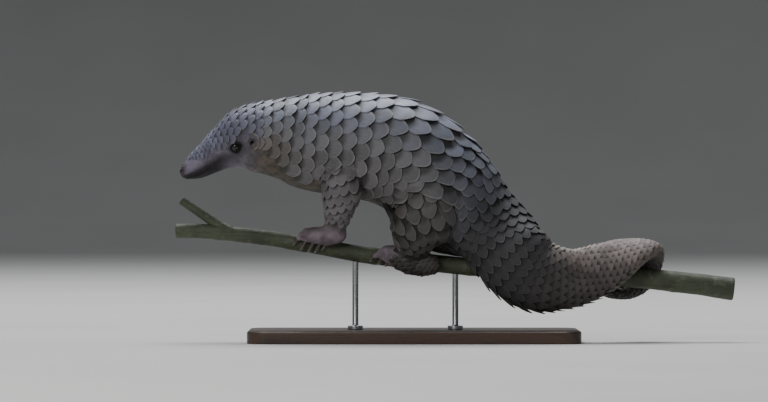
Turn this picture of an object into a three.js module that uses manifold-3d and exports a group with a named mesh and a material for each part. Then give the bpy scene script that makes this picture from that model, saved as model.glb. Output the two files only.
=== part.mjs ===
// A life-size pangolin walking along a branch, which two rods hold over a flat base.
// Units are millimetres and +Z is up. The head points to -X and the animal's left side to -Y.
// The origin is the middle of the base's underside.
import * as THREE from "three";
import { mergeVertices } from "three/addons/utils/BufferGeometryUtils.js";
import Module from "manifold-3d";

const wasm = await Module();
wasm.setup();

// Clearance that neighbouring solids keep
const GAP = 0.3;
// How far the highest scales' free edges stand off the skin
const SCALE_HEIGHT = 2.9;
// How deep a scale's root, or any other piece that is fused on, is sunk
const ROOT_DEPTH = 3;

// The branch: its centre line in the plane y = 0 and its radius, from the thin end to the thick end
const BRANCH = [
  { x: -351, z: 143.5, r: 9.8 },
  { x: -286, z: 144, r: 10 },
  { x: -221, z: 138, r: 10.4 },
  { x: -169, z: 130, r: 10.6 },
  { x: -71, z: 113, r: 11.2 },
  { x: 52, z: 99, r: 11.9 },
  { x: 182, z: 89.5, r: 12.6 },
  { x: 286, z: 83, r: 13.4 },
  { x: 364, z: 75, r: 14.4 },
  { x: 416, z: 68, r: 15.4 },
];
const BRANCH_ENDS = { thin: -318, thick: 408 };
const BRANCH_SIDES = 10;
const BRANCH_STEP = 56;
// The side shoot leaves the branch at x and rises towards the thin end
const SHOOT = { x: -246, rise: 34, length: 78, radius: 6.6, tip: 5.6 };

// The stand: a flat base with rounded corners, and two rods with a collar each
const BASE = { x: -8, length: 430, width: 190, height: 16, corner: 26, bevel: 2.5 };
const ROD = { radius: 4, collar: 10, collarHeight: 5, chamfer: 1.5, sides: 12 };
const ROD_PLACES = [-84, 46];

// The trunk from nose to tail root. A station gives the centre, the half width a, the half height b, and
// the roll of the back towards the animal's left in degrees.
const TRUNK = [
  { x: -312, y: 0, z: 216.6, a: 3.6, b: 5, roll: 0 },
  { x: -306, y: 0, z: 219.8, a: 8.4, b: 10.2, roll: 0 },
  { x: -291, y: 0, z: 228, a: 13, b: 17.6, roll: 0 },
  { x: -272, y: 0, z: 240.2, a: 18.5, b: 22.4, roll: 0 },
  { x: -252, y: 0, z: 253, a: 25, b: 30, roll: 0 },
  { x: -230, y: 0, z: 261.5, a: 31.5, b: 42, roll: 0 },
  { x: -205, y: 0, z: 264.5, a: 36, b: 47, roll: 0 },
  { x: -175.5, y: 0, z: 263.5, a: 41, b: 54.5, roll: 0 },
  { x: -149.5, y: 0, z: 260, a: 47, b: 62, roll: 0 },
  { x: -113, y: 0, z: 257, a: 53, b: 66.5, roll: 0 },
  { x: -74, y: 0, z: 254, a: 57, b: 69, roll: 0 },
  { x: -32.5, y: 0, z: 245.5, a: 60, b: 72, roll: 0 },
  { x: -1, y: 0, z: 228.5, a: 62, b: 72, roll: 0 },
  { x: 27, y: 0, z: 201, a: 61, b: 72, roll: 0 },
  { x: 62, y: -4, z: 173, a: 56, b: 61, roll: 14 },
  { x: 96, y: -20, z: 142.5, a: 51, b: 36, roll: 50 },
  { x: 121, y: -43, z: 109, a: 49, b: 28, roll: 74 },
  { x: 153, y: -42, z: 86, a: 45.5, b: 24, roll: 88 },
];
// The rest of the tail winds round the branch. turn is the angle round it, from its near side (0) over
// its top (90), and clear is how far the tail's scales stay from the bark.
const TAIL_WIND = [
  { x: 200, turn: -8, clear: 1, a: 36.5, b: 18.5 },
  { x: 239, turn: 22, clear: 3, a: 32, b: 15.5 },
  { x: 270, turn: 57, clear: 8, a: 28.5, b: 14 },
  { x: 290, turn: 95, clear: 9, a: 26, b: 12.5 },
  { x: 295, turn: 140, clear: 5, a: 22.5, b: 11 },
  { x: 286, turn: 184, clear: 2, a: 19, b: 9.5 },
  { x: 268, turn: 226, clear: 1, a: 15, b: 8 },
  { x: 248, turn: 264, clear: 1, a: 10.5, b: 6 },
  { x: 234, turn: 288, clear: 1, a: 5, b: 3.6 },
];
// Where the trunk is parted into nodes, as station numbers
const PARTS = [
  { name: "head", coat: "body", from: 0, to: 6.1 },
  { name: "neck", coat: "body", from: 6.1, to: 7.9 },
  { name: "torso", coat: "body", from: 7.9, to: 15.1 },
  { name: "tail_base", coat: "tail", from: 15.1, to: 17.9 },
  { name: "tail_middle", coat: "tail", from: 17.9, to: 20.5 },
  { name: "tail_end", coat: "tailEnd", from: 20.5, to: 23 },
  { name: "tail_tip", coat: "tailTip", from: 23, to: 26 },
];
// The snout in front of the scales, which runs on inside them from the station deepFrom
const SNOUT = { to: 3.2, deepFrom: 2.75, step: 6, sides: 14 };
// The body inside the scales, which shows only in the rooms that the legs take out of them
const UNDER_LEGS = { from: 8.1, to: 14.9, depth: 2.8, step: 34, sides: 12 };
const LAST_STATION = 26;
// The half angle from the back line that scales cover, station by station
const COVER = [0, 0, 22, 42, 60, 72, 90, 112, 124, 130, 130, 130, 130, 135, 148];

// Each coat of scales: how many files run round its form, the stations it covers, how long a scale is
// for each part of file width, and how high its free edge stands for each part of file width
const COATS = {
  body: { files: 16, from: 2, to: 15.6, length: 1.34, height: 0.145, deepTo: 2.55 },
  tail: { files: 10, from: 14.4, to: 21.5, length: 1.36, height: 0.15 },
  tailEnd: { files: 8, from: 20, to: 23.5, length: 1.2, height: 0.15 },
  tailTip: { files: 6, from: 22, to: 25.5, length: 1.1, height: 0.15 },
  foreleg: { files: 8, from: 0, to: 5.6, length: 1.45, height: 0.16 },
  hindleg: { files: 10, from: 0, to: 5.6, length: 1.3, height: 0.13 },
};
// A scale's free edge, in rows behind its own row and in files to the side of its own file. The files
// alternate by one row, so a scale is two rows long.
const SCALE = { tip: 2.2, corner: 1.5, half: 0.6, vary: 0.1 };
// A scale's top starts at this place with this share of its height, and climbs evenly to its tip
const SCALE_CLIMB = { low: -0.55, lowShare: 0.13 };
// Where a coat ends, its scales grow flat over this many files, and from BARE on they are smooth skin
const COAT_FADE = 1;
const BARE = 0.8;

// Limbs hang from the trunk. y is measured outwards from the middle plane, a lies fore and aft or up and
// down, and b outwards.
const FORELEG = [
  { x: -103, y: 18, z: 262, a: 28, b: 18 },
  { x: -102, y: 28, z: 234, a: 31, b: 21 },
  { x: -100, y: 36, z: 206, a: 28, b: 20 },
  { x: -104, y: 34, z: 182, a: 22, b: 16 },
  { x: -107, y: 27, z: 163, a: 17, b: 13 },
  { x: -110, y: 22, z: 150, a: 14.5, b: 11 },
  { x: -112, y: 20, z: 139, a: 8, b: 6 },
];
const HINDLEG = [
  { x: 44, y: 16, z: 238, a: 34, b: 18 },
  { x: 36, y: 30, z: 212, a: 41, b: 25 },
  { x: 22, y: 38, z: 187, a: 45, b: 29 },
  { x: 7, y: 41, z: 163, a: 43, b: 27 },
  { x: -4, y: 38, z: 142, a: 36, b: 21 },
  { x: -7, y: 32, z: 124, a: 25, b: 15 },
  { x: -6, y: 24, z: 106, a: 12, b: 7 },
];
const FOREFOOT = [
  { x: -96, y: 18, z: 141, a: 6, b: 6 },
  { x: -104, y: 19, z: 140.5, a: 12, b: 10.5 },
  { x: -122, y: 19.5, z: 138.5, a: 12.5, b: 11 },
  { x: -139, y: 19, z: 140.5, a: 9.5, b: 9.5 },
  { x: -152, y: 18, z: 144, a: 5.5, b: 6.5 },
];
const HINDFOOT = [
  { x: 26, y: 21, z: 97, a: 7, b: 6 },
  { x: 14, y: 22, z: 100, a: 14, b: 11 },
  { x: -10, y: 22, z: 105, a: 18, b: 12 },
  { x: -32, y: 21, z: 112, a: 14.5, b: 10.5 },
  { x: -50, y: 19, z: 118, a: 8.5, b: 7.5 },
];
// Digits lie round the branch from the angle start to the angle claw, where the claws begin. xs is where
// each digit starts along the branch, and ends is the angle that each claw's tip reaches. Each creeps
// forward along the branch on its way.
const FOREDIGITS = {
  xs: [-152, -142.8, -133.6, -124.4, -115.2], ends: [-20, -46, -60, -48, -22], start: 62, claw: 18,
  forward: 13, thick: 4.1,
};
const HINDDIGITS = {
  xs: [-54, -44.5, -35, -25.5, -16], ends: [-36, -56, -64, -60, -46], start: 44, claw: -2,
  forward: 11, thick: 4.2,
};
const DIGIT_SIDES = 5;
const DIGIT_STEPS = 3;
const DIGIT_SLANT = -0.2;
const LIMBS = [
  { leg: "foreleg", foot: "forefoot", claw: "foreclaw", legTable: FORELEG, footTable: FOREFOOT,
    digits: FOREDIGITS, cover: 95 },
  { leg: "hindleg", foot: "hindfoot", claw: "hindclaw", legTable: HINDLEG, footTable: HINDFOOT,
    digits: HINDDIGITS, cover: 105 },
];
const FOOT_END = 4;
const FOOT_MESH = { step: 16, sides: 8 };
// The room that the trunk leaves for each leg, as the leg's form grown by a margin
const LEG_ROOM = { step: 18, sides: 12, grow: 6.4 };
const SIDES = [{ side: -1, word: "left" }, { side: 1, word: "right" }];

// The face. x and z place the eye and the ear as seen from the side.
const EYE = { x: -239, z: 253, radius: 5.2, sunk: 1.9, lid: 1.2, lidLong: 6.5, lidHigh: 5.6, lidLift: 0.3,
  clear: 13 };
const EAR = { x: -217, z: 260.6, long: 7.2, high: 10.4, from: -84, to: 84, lift: 0.8, flap: 4.4, thick: 1.4,
  lean: 0.35, hole: 3.2, clear: 22 };
const MOUTH = { depth: 1.6, width: 1 };
const LIP = { wide: 1.5, deep: 0.9, below: 1.7 };
// Stations and angles along the line of the mouth, from its corner to the front
const MOUTH_LINE = [[2.3, 126], [1.7, 130], [1.2, 136], [0.9, 150]];
const NOSTRIL = { station: 0.6, angle: 58, radius: 1.3, long: 2 };

const COLOURS = {
  scales: 0x6b6660,
  skin: 0x6a5c55,
  eye: 0x100d0c,
  claw: 0x4a4038,
  bark: 0x6e6a55,
  rod: 0x8a8a88,
  base: 0x3b2c22,
};

const vec = (x, y, z) => new THREE.Vector3(x, y, z);
const rad = THREE.MathUtils.degToRad;
const UP = vec(0, 0, 1);

// Smooth value of one column of a table at a fractional row number, by the Catmull-Rom formula
function column(rows, t, key) {
  const i = Math.min(Math.max(Math.floor(t), 0), rows.length - 2);
  const u = t - i;
  const at = (k) => rows[Math.min(Math.max(k, 0), rows.length - 1)][key];
  const [p0, p1, p2, p3] = [at(i - 1), at(i), at(i + 1), at(i + 2)];
  return (
    p1 + 0.5 * u * (p2 - p0 + u * (2 * p0 - 5 * p1 + 4 * p2 - p3 + u * (3 * (p1 - p2) + p3 - p0)))
  );
}

// The branch's centre height and radius at a distance x along it
function branchAt(x) {
  let i = 0;
  while (i < BRANCH.length - 2 && BRANCH[i + 1].x < x) i += 1;
  const t = i + (x - BRANCH[i].x) / (BRANCH[i + 1].x - BRANCH[i].x);
  return { z: column(BRANCH, t, "z"), r: column(BRANCH, t, "r") };
}

// The direction away from the branch at an angle round it, on one side (-1 is the animal's left)
function awayFromBranch(turn, side = -1) {
  return vec(0, side * Math.cos(rad(turn)), Math.sin(rad(turn)));
}

// A closed solid from rings of points, each ring as long as the next, with a fan over each end
function sweep(rings) {
  const sides = rings[0].length;
  const points = rings.flat();
  const faces = [];
  for (let r = 0; r + 1 < rings.length; r += 1) {
    for (let k = 0; k < sides; k += 1) {
      const a = r * sides + k;
      const b = r * sides + ((k + 1) % sides);
      faces.push(a, b, a + sides, b, b + sides, a + sides);
    }
  }
  const last = (rings.length - 1) * sides;
  for (let k = 1; k + 1 < sides; k += 1) {
    faces.push(0, k + 1, k, last, last + k, last + k + 1);
  }
  return solid(points, faces);
}

// A manifold solid from points and triangles, turned right side out
function solid(points, faces) {
  const build = (triVerts) =>
    new wasm.Manifold(
      new wasm.Mesh({
        numProp: 3,
        vertProperties: new Float32Array(points.flatMap((p) => [p.x, p.y, p.z])),
        triVerts: new Uint32Array(triVerts),
      }),
    );
  const made = build(faces);
  if (made.volume() > 0) return made;
  const flipped = [];
  for (let i = 0; i < faces.length; i += 3) flipped.push(faces[i], faces[i + 2], faces[i + 1]);
  return build(flipped);
}

// A solid from a three.js geometry
function solidOf(geometry) {
  const bare = geometry.clone();
  bare.deleteAttribute("normal");
  bare.deleteAttribute("uv");
  const merged = mergeVertices(bare, 1e-4);
  const at = merged.attributes.position;
  const points = Array.from({ length: at.count }, (_, i) => vec(at.getX(i), at.getY(i), at.getZ(i)));
  return solid(points, Array.from(merged.index.array));
}

// A ring of points round a centre, on an ellipse with the half axes u and v
function ring(centre, u, v, sides) {
  return Array.from({ length: sides }, (_, k) => {
    const angle = (2 * Math.PI * k) / sides;
    return centre.clone().addScaledVector(u, Math.sin(angle)).addScaledVector(v, Math.cos(angle));
  });
}

// A ball, stretched along the three axes of a frame
function ball(centre, axes, radii, detail = 12) {
  const geometry = new THREE.SphereGeometry(1, detail, Math.ceil(detail / 2));
  const frame = new THREE.Matrix4().makeBasis(
    ...axes.map((axis, i) => axis.clone().multiplyScalar(radii[i])),
  );
  return solidOf(geometry.applyMatrix4(frame.setPosition(centre)));
}

// Joins closed pieces and keeps the largest closed surface
function fuse(pieces) {
  const bodies = wasm.Manifold.union(pieces).decompose();
  return bodies.reduce((best, b) => (b.volume() > best.volume() ? b : best));
}

// A body of elliptical sections strung along a smooth line
class Form {
  // A station holds the centre c, the dorsal direction d, and the half axes a (to the side) and b
  constructor(stations) {
    this.rows = stations.map(({ c, d, a, b }) => ({
      cx: c.x, cy: c.y, cz: c.z, dx: d.x, dy: d.y, dz: d.z, a, b,
    }));
  }

  centre(t) {
    return vec(column(this.rows, t, "cx"), column(this.rows, t, "cy"), column(this.rows, t, "cz"));
  }

  // The section at t: its centre, tangent, dorsal and sideways directions, and half axes
  section(t) {
    const step = 0.02;
    const tangent = this.centre(t + step).sub(this.centre(t - step)).normalize();
    const rough = vec(column(this.rows, t, "dx"), column(this.rows, t, "dy"), column(this.rows, t, "dz"));
    const dorsal = rough.addScaledVector(tangent, -rough.dot(tangent)).normalize();
    const side = tangent.clone().cross(dorsal);
    const a = column(this.rows, t, "a");
    const b = column(this.rows, t, "b");
    return { centre: this.centre(t), tangent, dorsal, side, a, b };
  }

  // The point of the surface at station t and angle phi from the back line, lifted off it
  point(t, phi, lift = 0) {
    const s = this.section(t);
    const normal = s.side.clone().multiplyScalar(Math.sin(phi) / s.a);
    normal.addScaledVector(s.dorsal, Math.cos(phi) / s.b).normalize();
    return s.centre
      .addScaledVector(s.side, s.a * Math.sin(phi))
      .addScaledVector(s.dorsal, s.b * Math.cos(phi))
      .addScaledVector(normal, lift);
  }

  // How many stations make a millimetre at t
  perMillimetre(t) {
    const step = 0.02;
    return (2 * step) / this.centre(t + step).distanceTo(this.centre(t - step));
  }

  // The closed solid between two stations, with flat ends, grown by a margin
  solid(from, to, { step, sides, grow = 0, growAt = () => grow }) {
    const rings = [];
    let length = 0;
    for (let t = from; t < to; t += 0.05) length += 0.05 / this.perMillimetre(t);
    const count = Math.max(2, Math.round(length / step));
    for (let i = 0; i <= count; i += 1) {
      const t = from + ((to - from) * i) / count;
      const s = this.section(t);
      const u = s.side.clone().multiplyScalar(s.a + growAt(t));
      const v = s.dorsal.clone().multiplyScalar(s.b + growAt(t));
      rings.push(ring(s.centre, u, v, sides));
    }
    return sweep(rings);
  }
}

// The angle from the back line at which the arc of an ellipse has the given length
function angleAtArc(a, b, arc) {
  const step = rad(2);
  let phi = 0;
  let left = Math.abs(arc);
  while (phi < Math.PI) {
    const piece = step * Math.hypot(a * Math.cos(phi + step / 2), b * Math.sin(phi + step / 2));
    if (piece > left) break;
    left -= piece;
    phi += step;
  }
  const rate = Math.hypot(a * Math.cos(phi), b * Math.sin(phi));
  return Math.sign(arc) * (phi + left / rate);
}

// The arc from the back line to the angle phi
function arcAtAngle(a, b, phi) {
  const steps = 40;
  let arc = 0;
  for (let i = 0; i < steps; i += 1) {
    const middle = (phi * (i + 0.5)) / steps;
    arc += (phi / steps) * Math.hypot(a * Math.cos(middle), b * Math.sin(middle));
  }
  return arc;
}

// A repeatable draw between -1 and 1 for the scale in a row and file
function draw(row, file, kind) {
  const mixed = Math.sin(row * 12.9898 + file * 78.233 + kind * 37.719) * 43758.5453;
  return 2 * (mixed - Math.floor(mixed)) - 1;
}

// A coat of scales over a form. Places on it are told in rows along the form and files round it, with
// file 0 on the back line. Each scale lies over the next ones behind it.
class Coat {
  // bare(t, phi, width) tells how flat the scales are at a place, from 0 (scales) to 1 (bare skin)
  constructor(form, plan, bare) {
    this.form = form;
    this.plan = plan;
    this.bare = bare;
    this.stations = [plan.from];
    while (this.stations.at(-1) < plan.to) {
      const t = this.stations.at(-1);
      this.stations.push(t + (plan.length / 2) * this.width(t) * form.perMillimetre(t));
    }
    this.rows = this.stations.length - 1;
  }

  // The width of one file at station t
  width(t) {
    const { a, b } = this.form.section(t);
    return (2 * arcAtAngle(a, b, Math.PI)) / this.plan.files;
  }

  // The station of a row, also between two rows and a little beyond the ends
  station(row) {
    const i = Math.min(Math.max(Math.floor(row), 0), this.rows - 1);
    return this.stations[i] + (row - i) * (this.stations[i + 1] - this.stations[i]);
  }

  // The row at a station
  row(t) {
    let i = 0;
    while (i < this.rows - 1 && this.stations[i + 1] < t) i += 1;
    return i + (t - this.stations[i]) / (this.stations[i + 1] - this.stations[i]);
  }

  // A place given as row and file: its station, its angle from the back line and the file width there
  place(row, file) {
    const t = this.station(row);
    const { a, b } = this.form.section(t);
    const width = this.width(t);
    const turned = file - this.plan.files * Math.round(file / this.plan.files);
    return { t, phi: angleAtArc(a, b, turned * width), width };
  }

  // The point at a place on top of the scale that belongs to ownRow, which varies a little in height
  point({ t, phi, width }, row, ownRow, vary) {
    const climb = (row - ownRow - SCALE_CLIMB.low) / (SCALE.tip - SCALE_CLIMB.low);
    const share = SCALE_CLIMB.lowShare + (1 - SCALE_CLIMB.lowShare) * climb;
    const flat = this.bare(t, phi, width);
    const height = flat >= BARE ? 0 : this.plan.height * width * share * (1 + vary * climb);
    return this.form.point(t, phi, height * (1 - flat) - this.sunk(t));
  }

  // How deep the coat's front end lies under the snout
  sunk(t) {
    return t < this.plan.deepTo ? ROOT_DEPTH : 0;
  }

  // The closed solid of the scales in a range of rows, down to the form's middle line, with pointed ends
  solid(firstRow, lastRow) {
    const { files } = this.plan;
    const points = [];
    const numbers = new Map();
    const apexes = [firstRow, lastRow + 2].map((row) => {
      points.push(this.form.centre(this.station(row)));
      return points.length - 1;
    });
    // The number of the point at one corner of a scale's free edge: its own top, or the top below it of
    // the scale that is rowsBehind and filesAside from it. On bare skin all of these are one point.
    const number = (row, file, corner, rowsBehind, filesAside) => {
      if (row < firstRow) return apexes[0];
      if (row > lastRow) return apexes[1];
      const own = ((file % files) + files) % files;
      const alongAt =
        row + (corner === 0 ? SCALE.tip : SCALE.corner) + SCALE.vary * draw(row, own, 1 + corner);
      const across = own + corner * SCALE.half + 0.5 * SCALE.vary * draw(row, own, 5 + corner);
      const place = this.place(alongAt, across);
      const isBare = this.bare(place.t, place.phi, place.width) >= BARE;
      const key = [row, own, corner, isBare ? 0 : rowsBehind].join();
      if (!numbers.has(key)) {
        const vary = SCALE.vary * draw(row + rowsBehind, (own + filesAside + files) % files, 0);
        numbers.set(key, points.length);
        points.push(this.point(place, alongAt, row + rowsBehind, vary));
      }
      return numbers.get(key);
    };
    const faces = [];
    const polygon = (corners) => {
      for (let k = 1; k + 1 < corners.length; k += 1) {
        const [p, q, r] = [corners[0], corners[k], corners[k + 1]];
        if (p !== q && q !== r && r !== p) faces.push(p, q, r);
      }
    };
    for (let row = firstRow; row <= lastRow + 2; row += 1) {
      for (let file = 0; file < files; file += 1) {
        if ((row + file) % 2 !== 0) continue;
        const tip = number(row, file, 0, 0, 0);
        const tipFoot = number(row, file, 0, 2, 0);
        // Points that this scale's top shares with the edges of the scales before it
        const root = number(row - 2, file, 0, 2, 0);
        const rim = [1, -1].map((s) => ({
          corner: number(row, file, s, 0, 0),
          cornerMiddle: number(row, file, s, 1, s),
          cornerFoot: number(row, file, s, 2, 0),
          joint: number(row - 1, file + s, -s, 1, -s),
          jointFoot: number(row - 1, file + s, -s, 2, 0),
          rootCorner: number(row - 2, file, s, 2, 0),
        }));
        const [r, l] = rim;
        polygon([root, r.rootCorner, r.joint, r.corner, tip, l.corner, l.joint, l.rootCorner]);
        polygon([r.corner, r.joint, r.jointFoot, r.cornerMiddle]);
        polygon([tip, r.corner, r.cornerMiddle, r.cornerFoot, tipFoot]);
        polygon([tip, tipFoot, l.cornerFoot, l.cornerMiddle, l.corner]);
        polygon([l.joint, l.corner, l.cornerMiddle, l.jointFoot]);
      }
    }
    return solid(points, faces);
  }
}

// A step from 0 to 1 with soft ends
const smooth = (x) => THREE.MathUtils.smoothstep(x, 0, 1);

// The trunk and tail as one form
function trunkForm() {
  const centres = TRUNK.map((s) => vec(s.x, s.y, s.z));
  const stations = TRUNK.map((s, i) => {
    const before = centres[Math.max(i - 1, 0)];
    const after = centres[Math.min(i + 1, centres.length - 1)];
    const tangent = after.clone().sub(before).normalize();
    const up = UP.clone().addScaledVector(tangent, -UP.dot(tangent)).normalize();
    const left = tangent.clone().cross(up);
    const d = up.multiplyScalar(Math.cos(rad(s.roll))).addScaledVector(left, Math.sin(rad(s.roll)));
    return { c: centres[i], d, a: s.a, b: s.b };
  });
  const wound = TAIL_WIND.map((s) => {
    const { z, r } = branchAt(s.x);
    const d = awayFromBranch(s.turn);
    const c = vec(s.x, 0, z).addScaledVector(d, r + s.clear + SCALE_HEIGHT + s.b);
    return { c, d, a: s.a, b: s.b };
  });
  return new Form([...stations, ...wound]);
}

// A limb's form on one side (-1 is the animal's left)
function limbForm(table, side) {
  return new Form(table.map((s) => ({ c: vec(s.x, side * s.y, s.z), d: vec(0, side, 0), a: s.a, b: s.b })));
}

const trunk = trunkForm();
const tailStart = PARTS.find((part) => part.name === "tail_base").from;
const coverRows = COVER.map((c) => ({ c }));
const cover = (t) =>
  t >= tailStart ? Math.PI : rad(column(coverRows, Math.min(t, COVER.length - 1), "c"));

// The station and angle of the trunk's left side that lies at x and z when seen from the side
function seatOnHead(x, z) {
  let best = { miss: Infinity };
  for (let t = 3; t < 7; t += 0.05) {
    for (let phi = 20; phi < 150; phi += 2) {
      const p = trunk.point(t, rad(phi));
      const miss = Math.hypot(p.x - x, p.z - z);
      if (miss < best.miss) best = { miss, t, phi: rad(phi) };
    }
  }
  return best;
}

// A frame on the head: the point, the outward normal, and the two directions along the surface
function headFrame({ t, phi }, side) {
  const point = trunk.point(t, phi);
  const normal = trunk.point(t, phi, 1).sub(point);
  const back = trunk.point(t + 0.05, phi).sub(point);
  back.addScaledVector(normal, -back.dot(normal)).normalize();
  const up = normal.clone().cross(back);
  if (up.z < 0) up.negate();
  const mirror = (v) => (side < 0 ? v : vec(v.x, -v.y, v.z));
  return { point: mirror(point), normal: mirror(normal), back: mirror(back), up: mirror(up) };
}

const eyeSeat = seatOnHead(EYE.x, EYE.z);
const earSeat = seatOnHead(EAR.x, EAR.z);

function eyeBall(side, grow) {
  const f = headFrame(eyeSeat, side);
  const centre = f.point.clone().addScaledVector(f.normal, -EYE.sunk);
  const radius = EYE.radius + grow;
  return ball(centre, [f.back, f.up, f.normal], [radius, radius, radius], 8);
}

// The lids: a low ring round the eye, longer fore and aft than it is high, as two half rings
function lids(side) {
  const f = headFrame(eyeSeat, side);
  const steps = 8;
  const rings = [];
  for (let i = 0; i <= steps; i += 1) {
    const angle = (2 * Math.PI * i) / steps;
    const out = f.back.clone().multiplyScalar(Math.cos(angle)).addScaledVector(f.up, Math.sin(angle));
    const centre = f.point
      .clone()
      .addScaledVector(f.back, EYE.lidLong * Math.cos(angle))
      .addScaledVector(f.up, EYE.lidHigh * Math.sin(angle))
      .addScaledVector(f.normal, EYE.lidLift);
    rings.push(ring(centre, out.multiplyScalar(EYE.lid), f.normal.clone().multiplyScalar(EYE.lid), 4));
  }
  const half = steps / 2;
  return [sweep(rings.slice(0, half + 1)), sweep(rings.slice(half))];
}

// The ear: a low crescent flap behind its opening, leaning out so that it forms a cup
function earFlap(side) {
  const f = headFrame(earSeat, side);
  const steps = 8;
  const rings = [];
  for (let i = 0; i <= steps; i += 1) {
    const share = i / steps;
    const angle = rad(EAR.from + (EAR.to - EAR.from) * share);
    const full = Math.sqrt(Math.max(Math.sin(Math.PI * share), 0.08));
    const out = f.back.clone().multiplyScalar(Math.cos(angle)).addScaledVector(f.up, Math.sin(angle));
    const centre = f.point
      .clone()
      .addScaledVector(f.back, EAR.long * Math.cos(angle))
      .addScaledVector(f.up, EAR.high * Math.sin(angle))
      .addScaledVector(f.normal, EAR.lift);
    const lean = f.normal.clone().addScaledVector(out, EAR.lean).normalize();
    rings.push(
      ring(centre, out.multiplyScalar(EAR.thick * full), lean.multiplyScalar(EAR.flap * full), 5),
    );
  }
  return sweep(rings);
}

function earHole(side) {
  const f = headFrame(earSeat, side);
  return ball(f.point, [f.back, f.up, f.normal], [EAR.hole, EAR.hole * 1.5, EAR.hole], 6);
}

// The line of the mouth as stations and angles, from the left corner under the nose to the right one
function mouthLine() {
  const half = MOUTH_LINE.map(([t, phi]) => [t, rad(phi)]);
  const [tip] = MOUTH_LINE.at(-1);
  return [...half, [tip, Math.PI], ...half.map(([t, phi]) => [t, 2 * Math.PI - phi]).reverse()];
}

// A bar along the mouth line: wide across it and deep into the head, shifted below the line
function mouthBar(wide, deep, below) {
  const line = mouthLine();
  const points = line.map(([t, phi]) => trunk.point(t, phi));
  const rings = line.map(([t, phi], i) => {
    const before = points[Math.max(i - 1, 0)];
    const after = points[Math.min(i + 1, points.length - 1)];
    const out = trunk.point(t, phi, 1).sub(points[i]);
    const down = out.clone().cross(after.clone().sub(before)).normalize();
    const centre = points[i].clone().addScaledVector(down, below);
    return ring(centre, down.multiplyScalar(wide), out.multiplyScalar(deep), 4);
  });
  return sweep(rings);
}

function nostril(side) {
  const s = trunk.section(NOSTRIL.station);
  const centre = trunk.point(NOSTRIL.station, side * rad(NOSTRIL.angle));
  const radii = [NOSTRIL.long, NOSTRIL.radius, NOSTRIL.radius];
  return ball(centre, [s.tangent, s.dorsal, s.side], radii, 5);
}

// Adds the lids to the head and cuts the eye sockets, ear openings, mouth and nostrils
function finishHead(head) {
  const raised = [...SIDES.flatMap(({ side }) => lids(side)), mouthBar(LIP.wide, LIP.deep, LIP.below)];
  const joined = fuse([head, snout(), ...raised]);
  const cuts = SIDES.flatMap(({ side }) => [eyeBall(side, GAP), earHole(side), nostril(side)]);
  return wasm.Manifold.difference([joined, ...cuts, mouthBar(MOUTH.width / 2, MOUTH.depth, 0)]);
}

// How bare the trunk is at a place: beyond the angle that scales cover, in front of the first scales, and
// round the eye and the ear
function trunkBare(t, phi, width) {
  if (t >= tailStart) return 0;
  const { a, b } = trunk.section(t);
  const past = arcAtAngle(a, b, Math.abs(phi)) - arcAtAngle(a, b, cover(t));
  const p = trunk.point(t, Math.abs(phi));
  const round = (seat, clear) => 1.5 - p.distanceTo(trunk.point(seat.t, seat.phi)) / clear;
  const side = past / (COAT_FADE * width) + 0.5;
  return smooth(Math.max(side, round(eyeSeat, EYE.clear), round(earSeat, EAR.clear)));
}

// The scales and skin of one node of the trunk, cut to its two ends
function partCoat(part, inset) {
  const coat = trunkCoats[part.coat];
  const first = Math.max(0, Math.floor(coat.row(part.from)) - 5);
  const last = Math.min(coat.rows, Math.ceil(coat.row(part.to)) + 1);
  let made = coat.solid(first, last);
  for (const [t, sign] of [[part.from, 1], [part.to, -1]]) {
    if (t <= 0 || t >= LAST_STATION) continue;
    const s = trunk.section(t);
    const normal = s.tangent.multiplyScalar(sign);
    made = made.trimByPlane([normal.x, normal.y, normal.z], s.centre.dot(normal) + inset);
  }
  return made;
}

// The snout, as smooth skin whose back end narrows inside the head
function snout() {
  return trunk.solid(0, SNOUT.to, {
    ...SNOUT,
    growAt: (t) => (t > SNOUT.deepFrom ? -ROOT_DEPTH : 0),
  });
}

// The body inside the torso's scales, grown by a margin
function bodyUnderLegs(margin) {
  const { from, to, depth } = UNDER_LEGS;
  return trunk.solid(from, to, { ...UNDER_LEGS, grow: margin - depth });
}

// One node of the trunk
function trunkPart(part) {
  let made = partCoat(part, GAP / 2);
  if (part.name === "torso") made = wasm.Manifold.difference([made, ...legRooms]).add(bodyUnderLegs(0));
  if (part.name === "head") made = finishHead(made);
  return fuse([made.subtract(branchGrown)]);
}

// The branch with its ends cut, grown by a margin
function branchSolid(grow) {
  const rings = [];
  const length = BRANCH_ENDS.thick - BRANCH_ENDS.thin;
  const count = Math.round(length / BRANCH_STEP);
  for (let i = 0; i <= count; i += 1) {
    const x = BRANCH_ENDS.thin + (length * i) / count;
    const { z, r } = branchAt(x);
    const slope = (branchAt(x + 1).z - branchAt(x - 1).z) / 2;
    const across = vec(-slope, 0, 1).normalize();
    rings.push(ring(vec(x, 0, z), vec(0, r + grow, 0), across.multiplyScalar(r + grow), BRANCH_SIDES));
  }
  return sweep(rings);
}

// The side shoot, cut short, its root shaped to the branch
function shootSolid() {
  const { z } = branchAt(SHOOT.x);
  const along = vec(-Math.cos(rad(SHOOT.rise)), 0, Math.sin(rad(SHOOT.rise)));
  const across = vec(Math.sin(rad(SHOOT.rise)), 0, Math.cos(rad(SHOOT.rise)));
  const rings = [0, 0.25, 0.6, 1].map((share) => {
    const radius = THREE.MathUtils.lerp(SHOOT.radius + (share === 0 ? 2 : 0), SHOOT.tip, share);
    const centre = vec(SHOOT.x, 0, z).addScaledVector(along, SHOOT.length * share);
    return ring(centre, vec(0, radius, 0), across.clone().multiplyScalar(radius), 10);
  });
  return fuse([sweep(rings).subtract(branchGrown)]);
}

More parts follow.
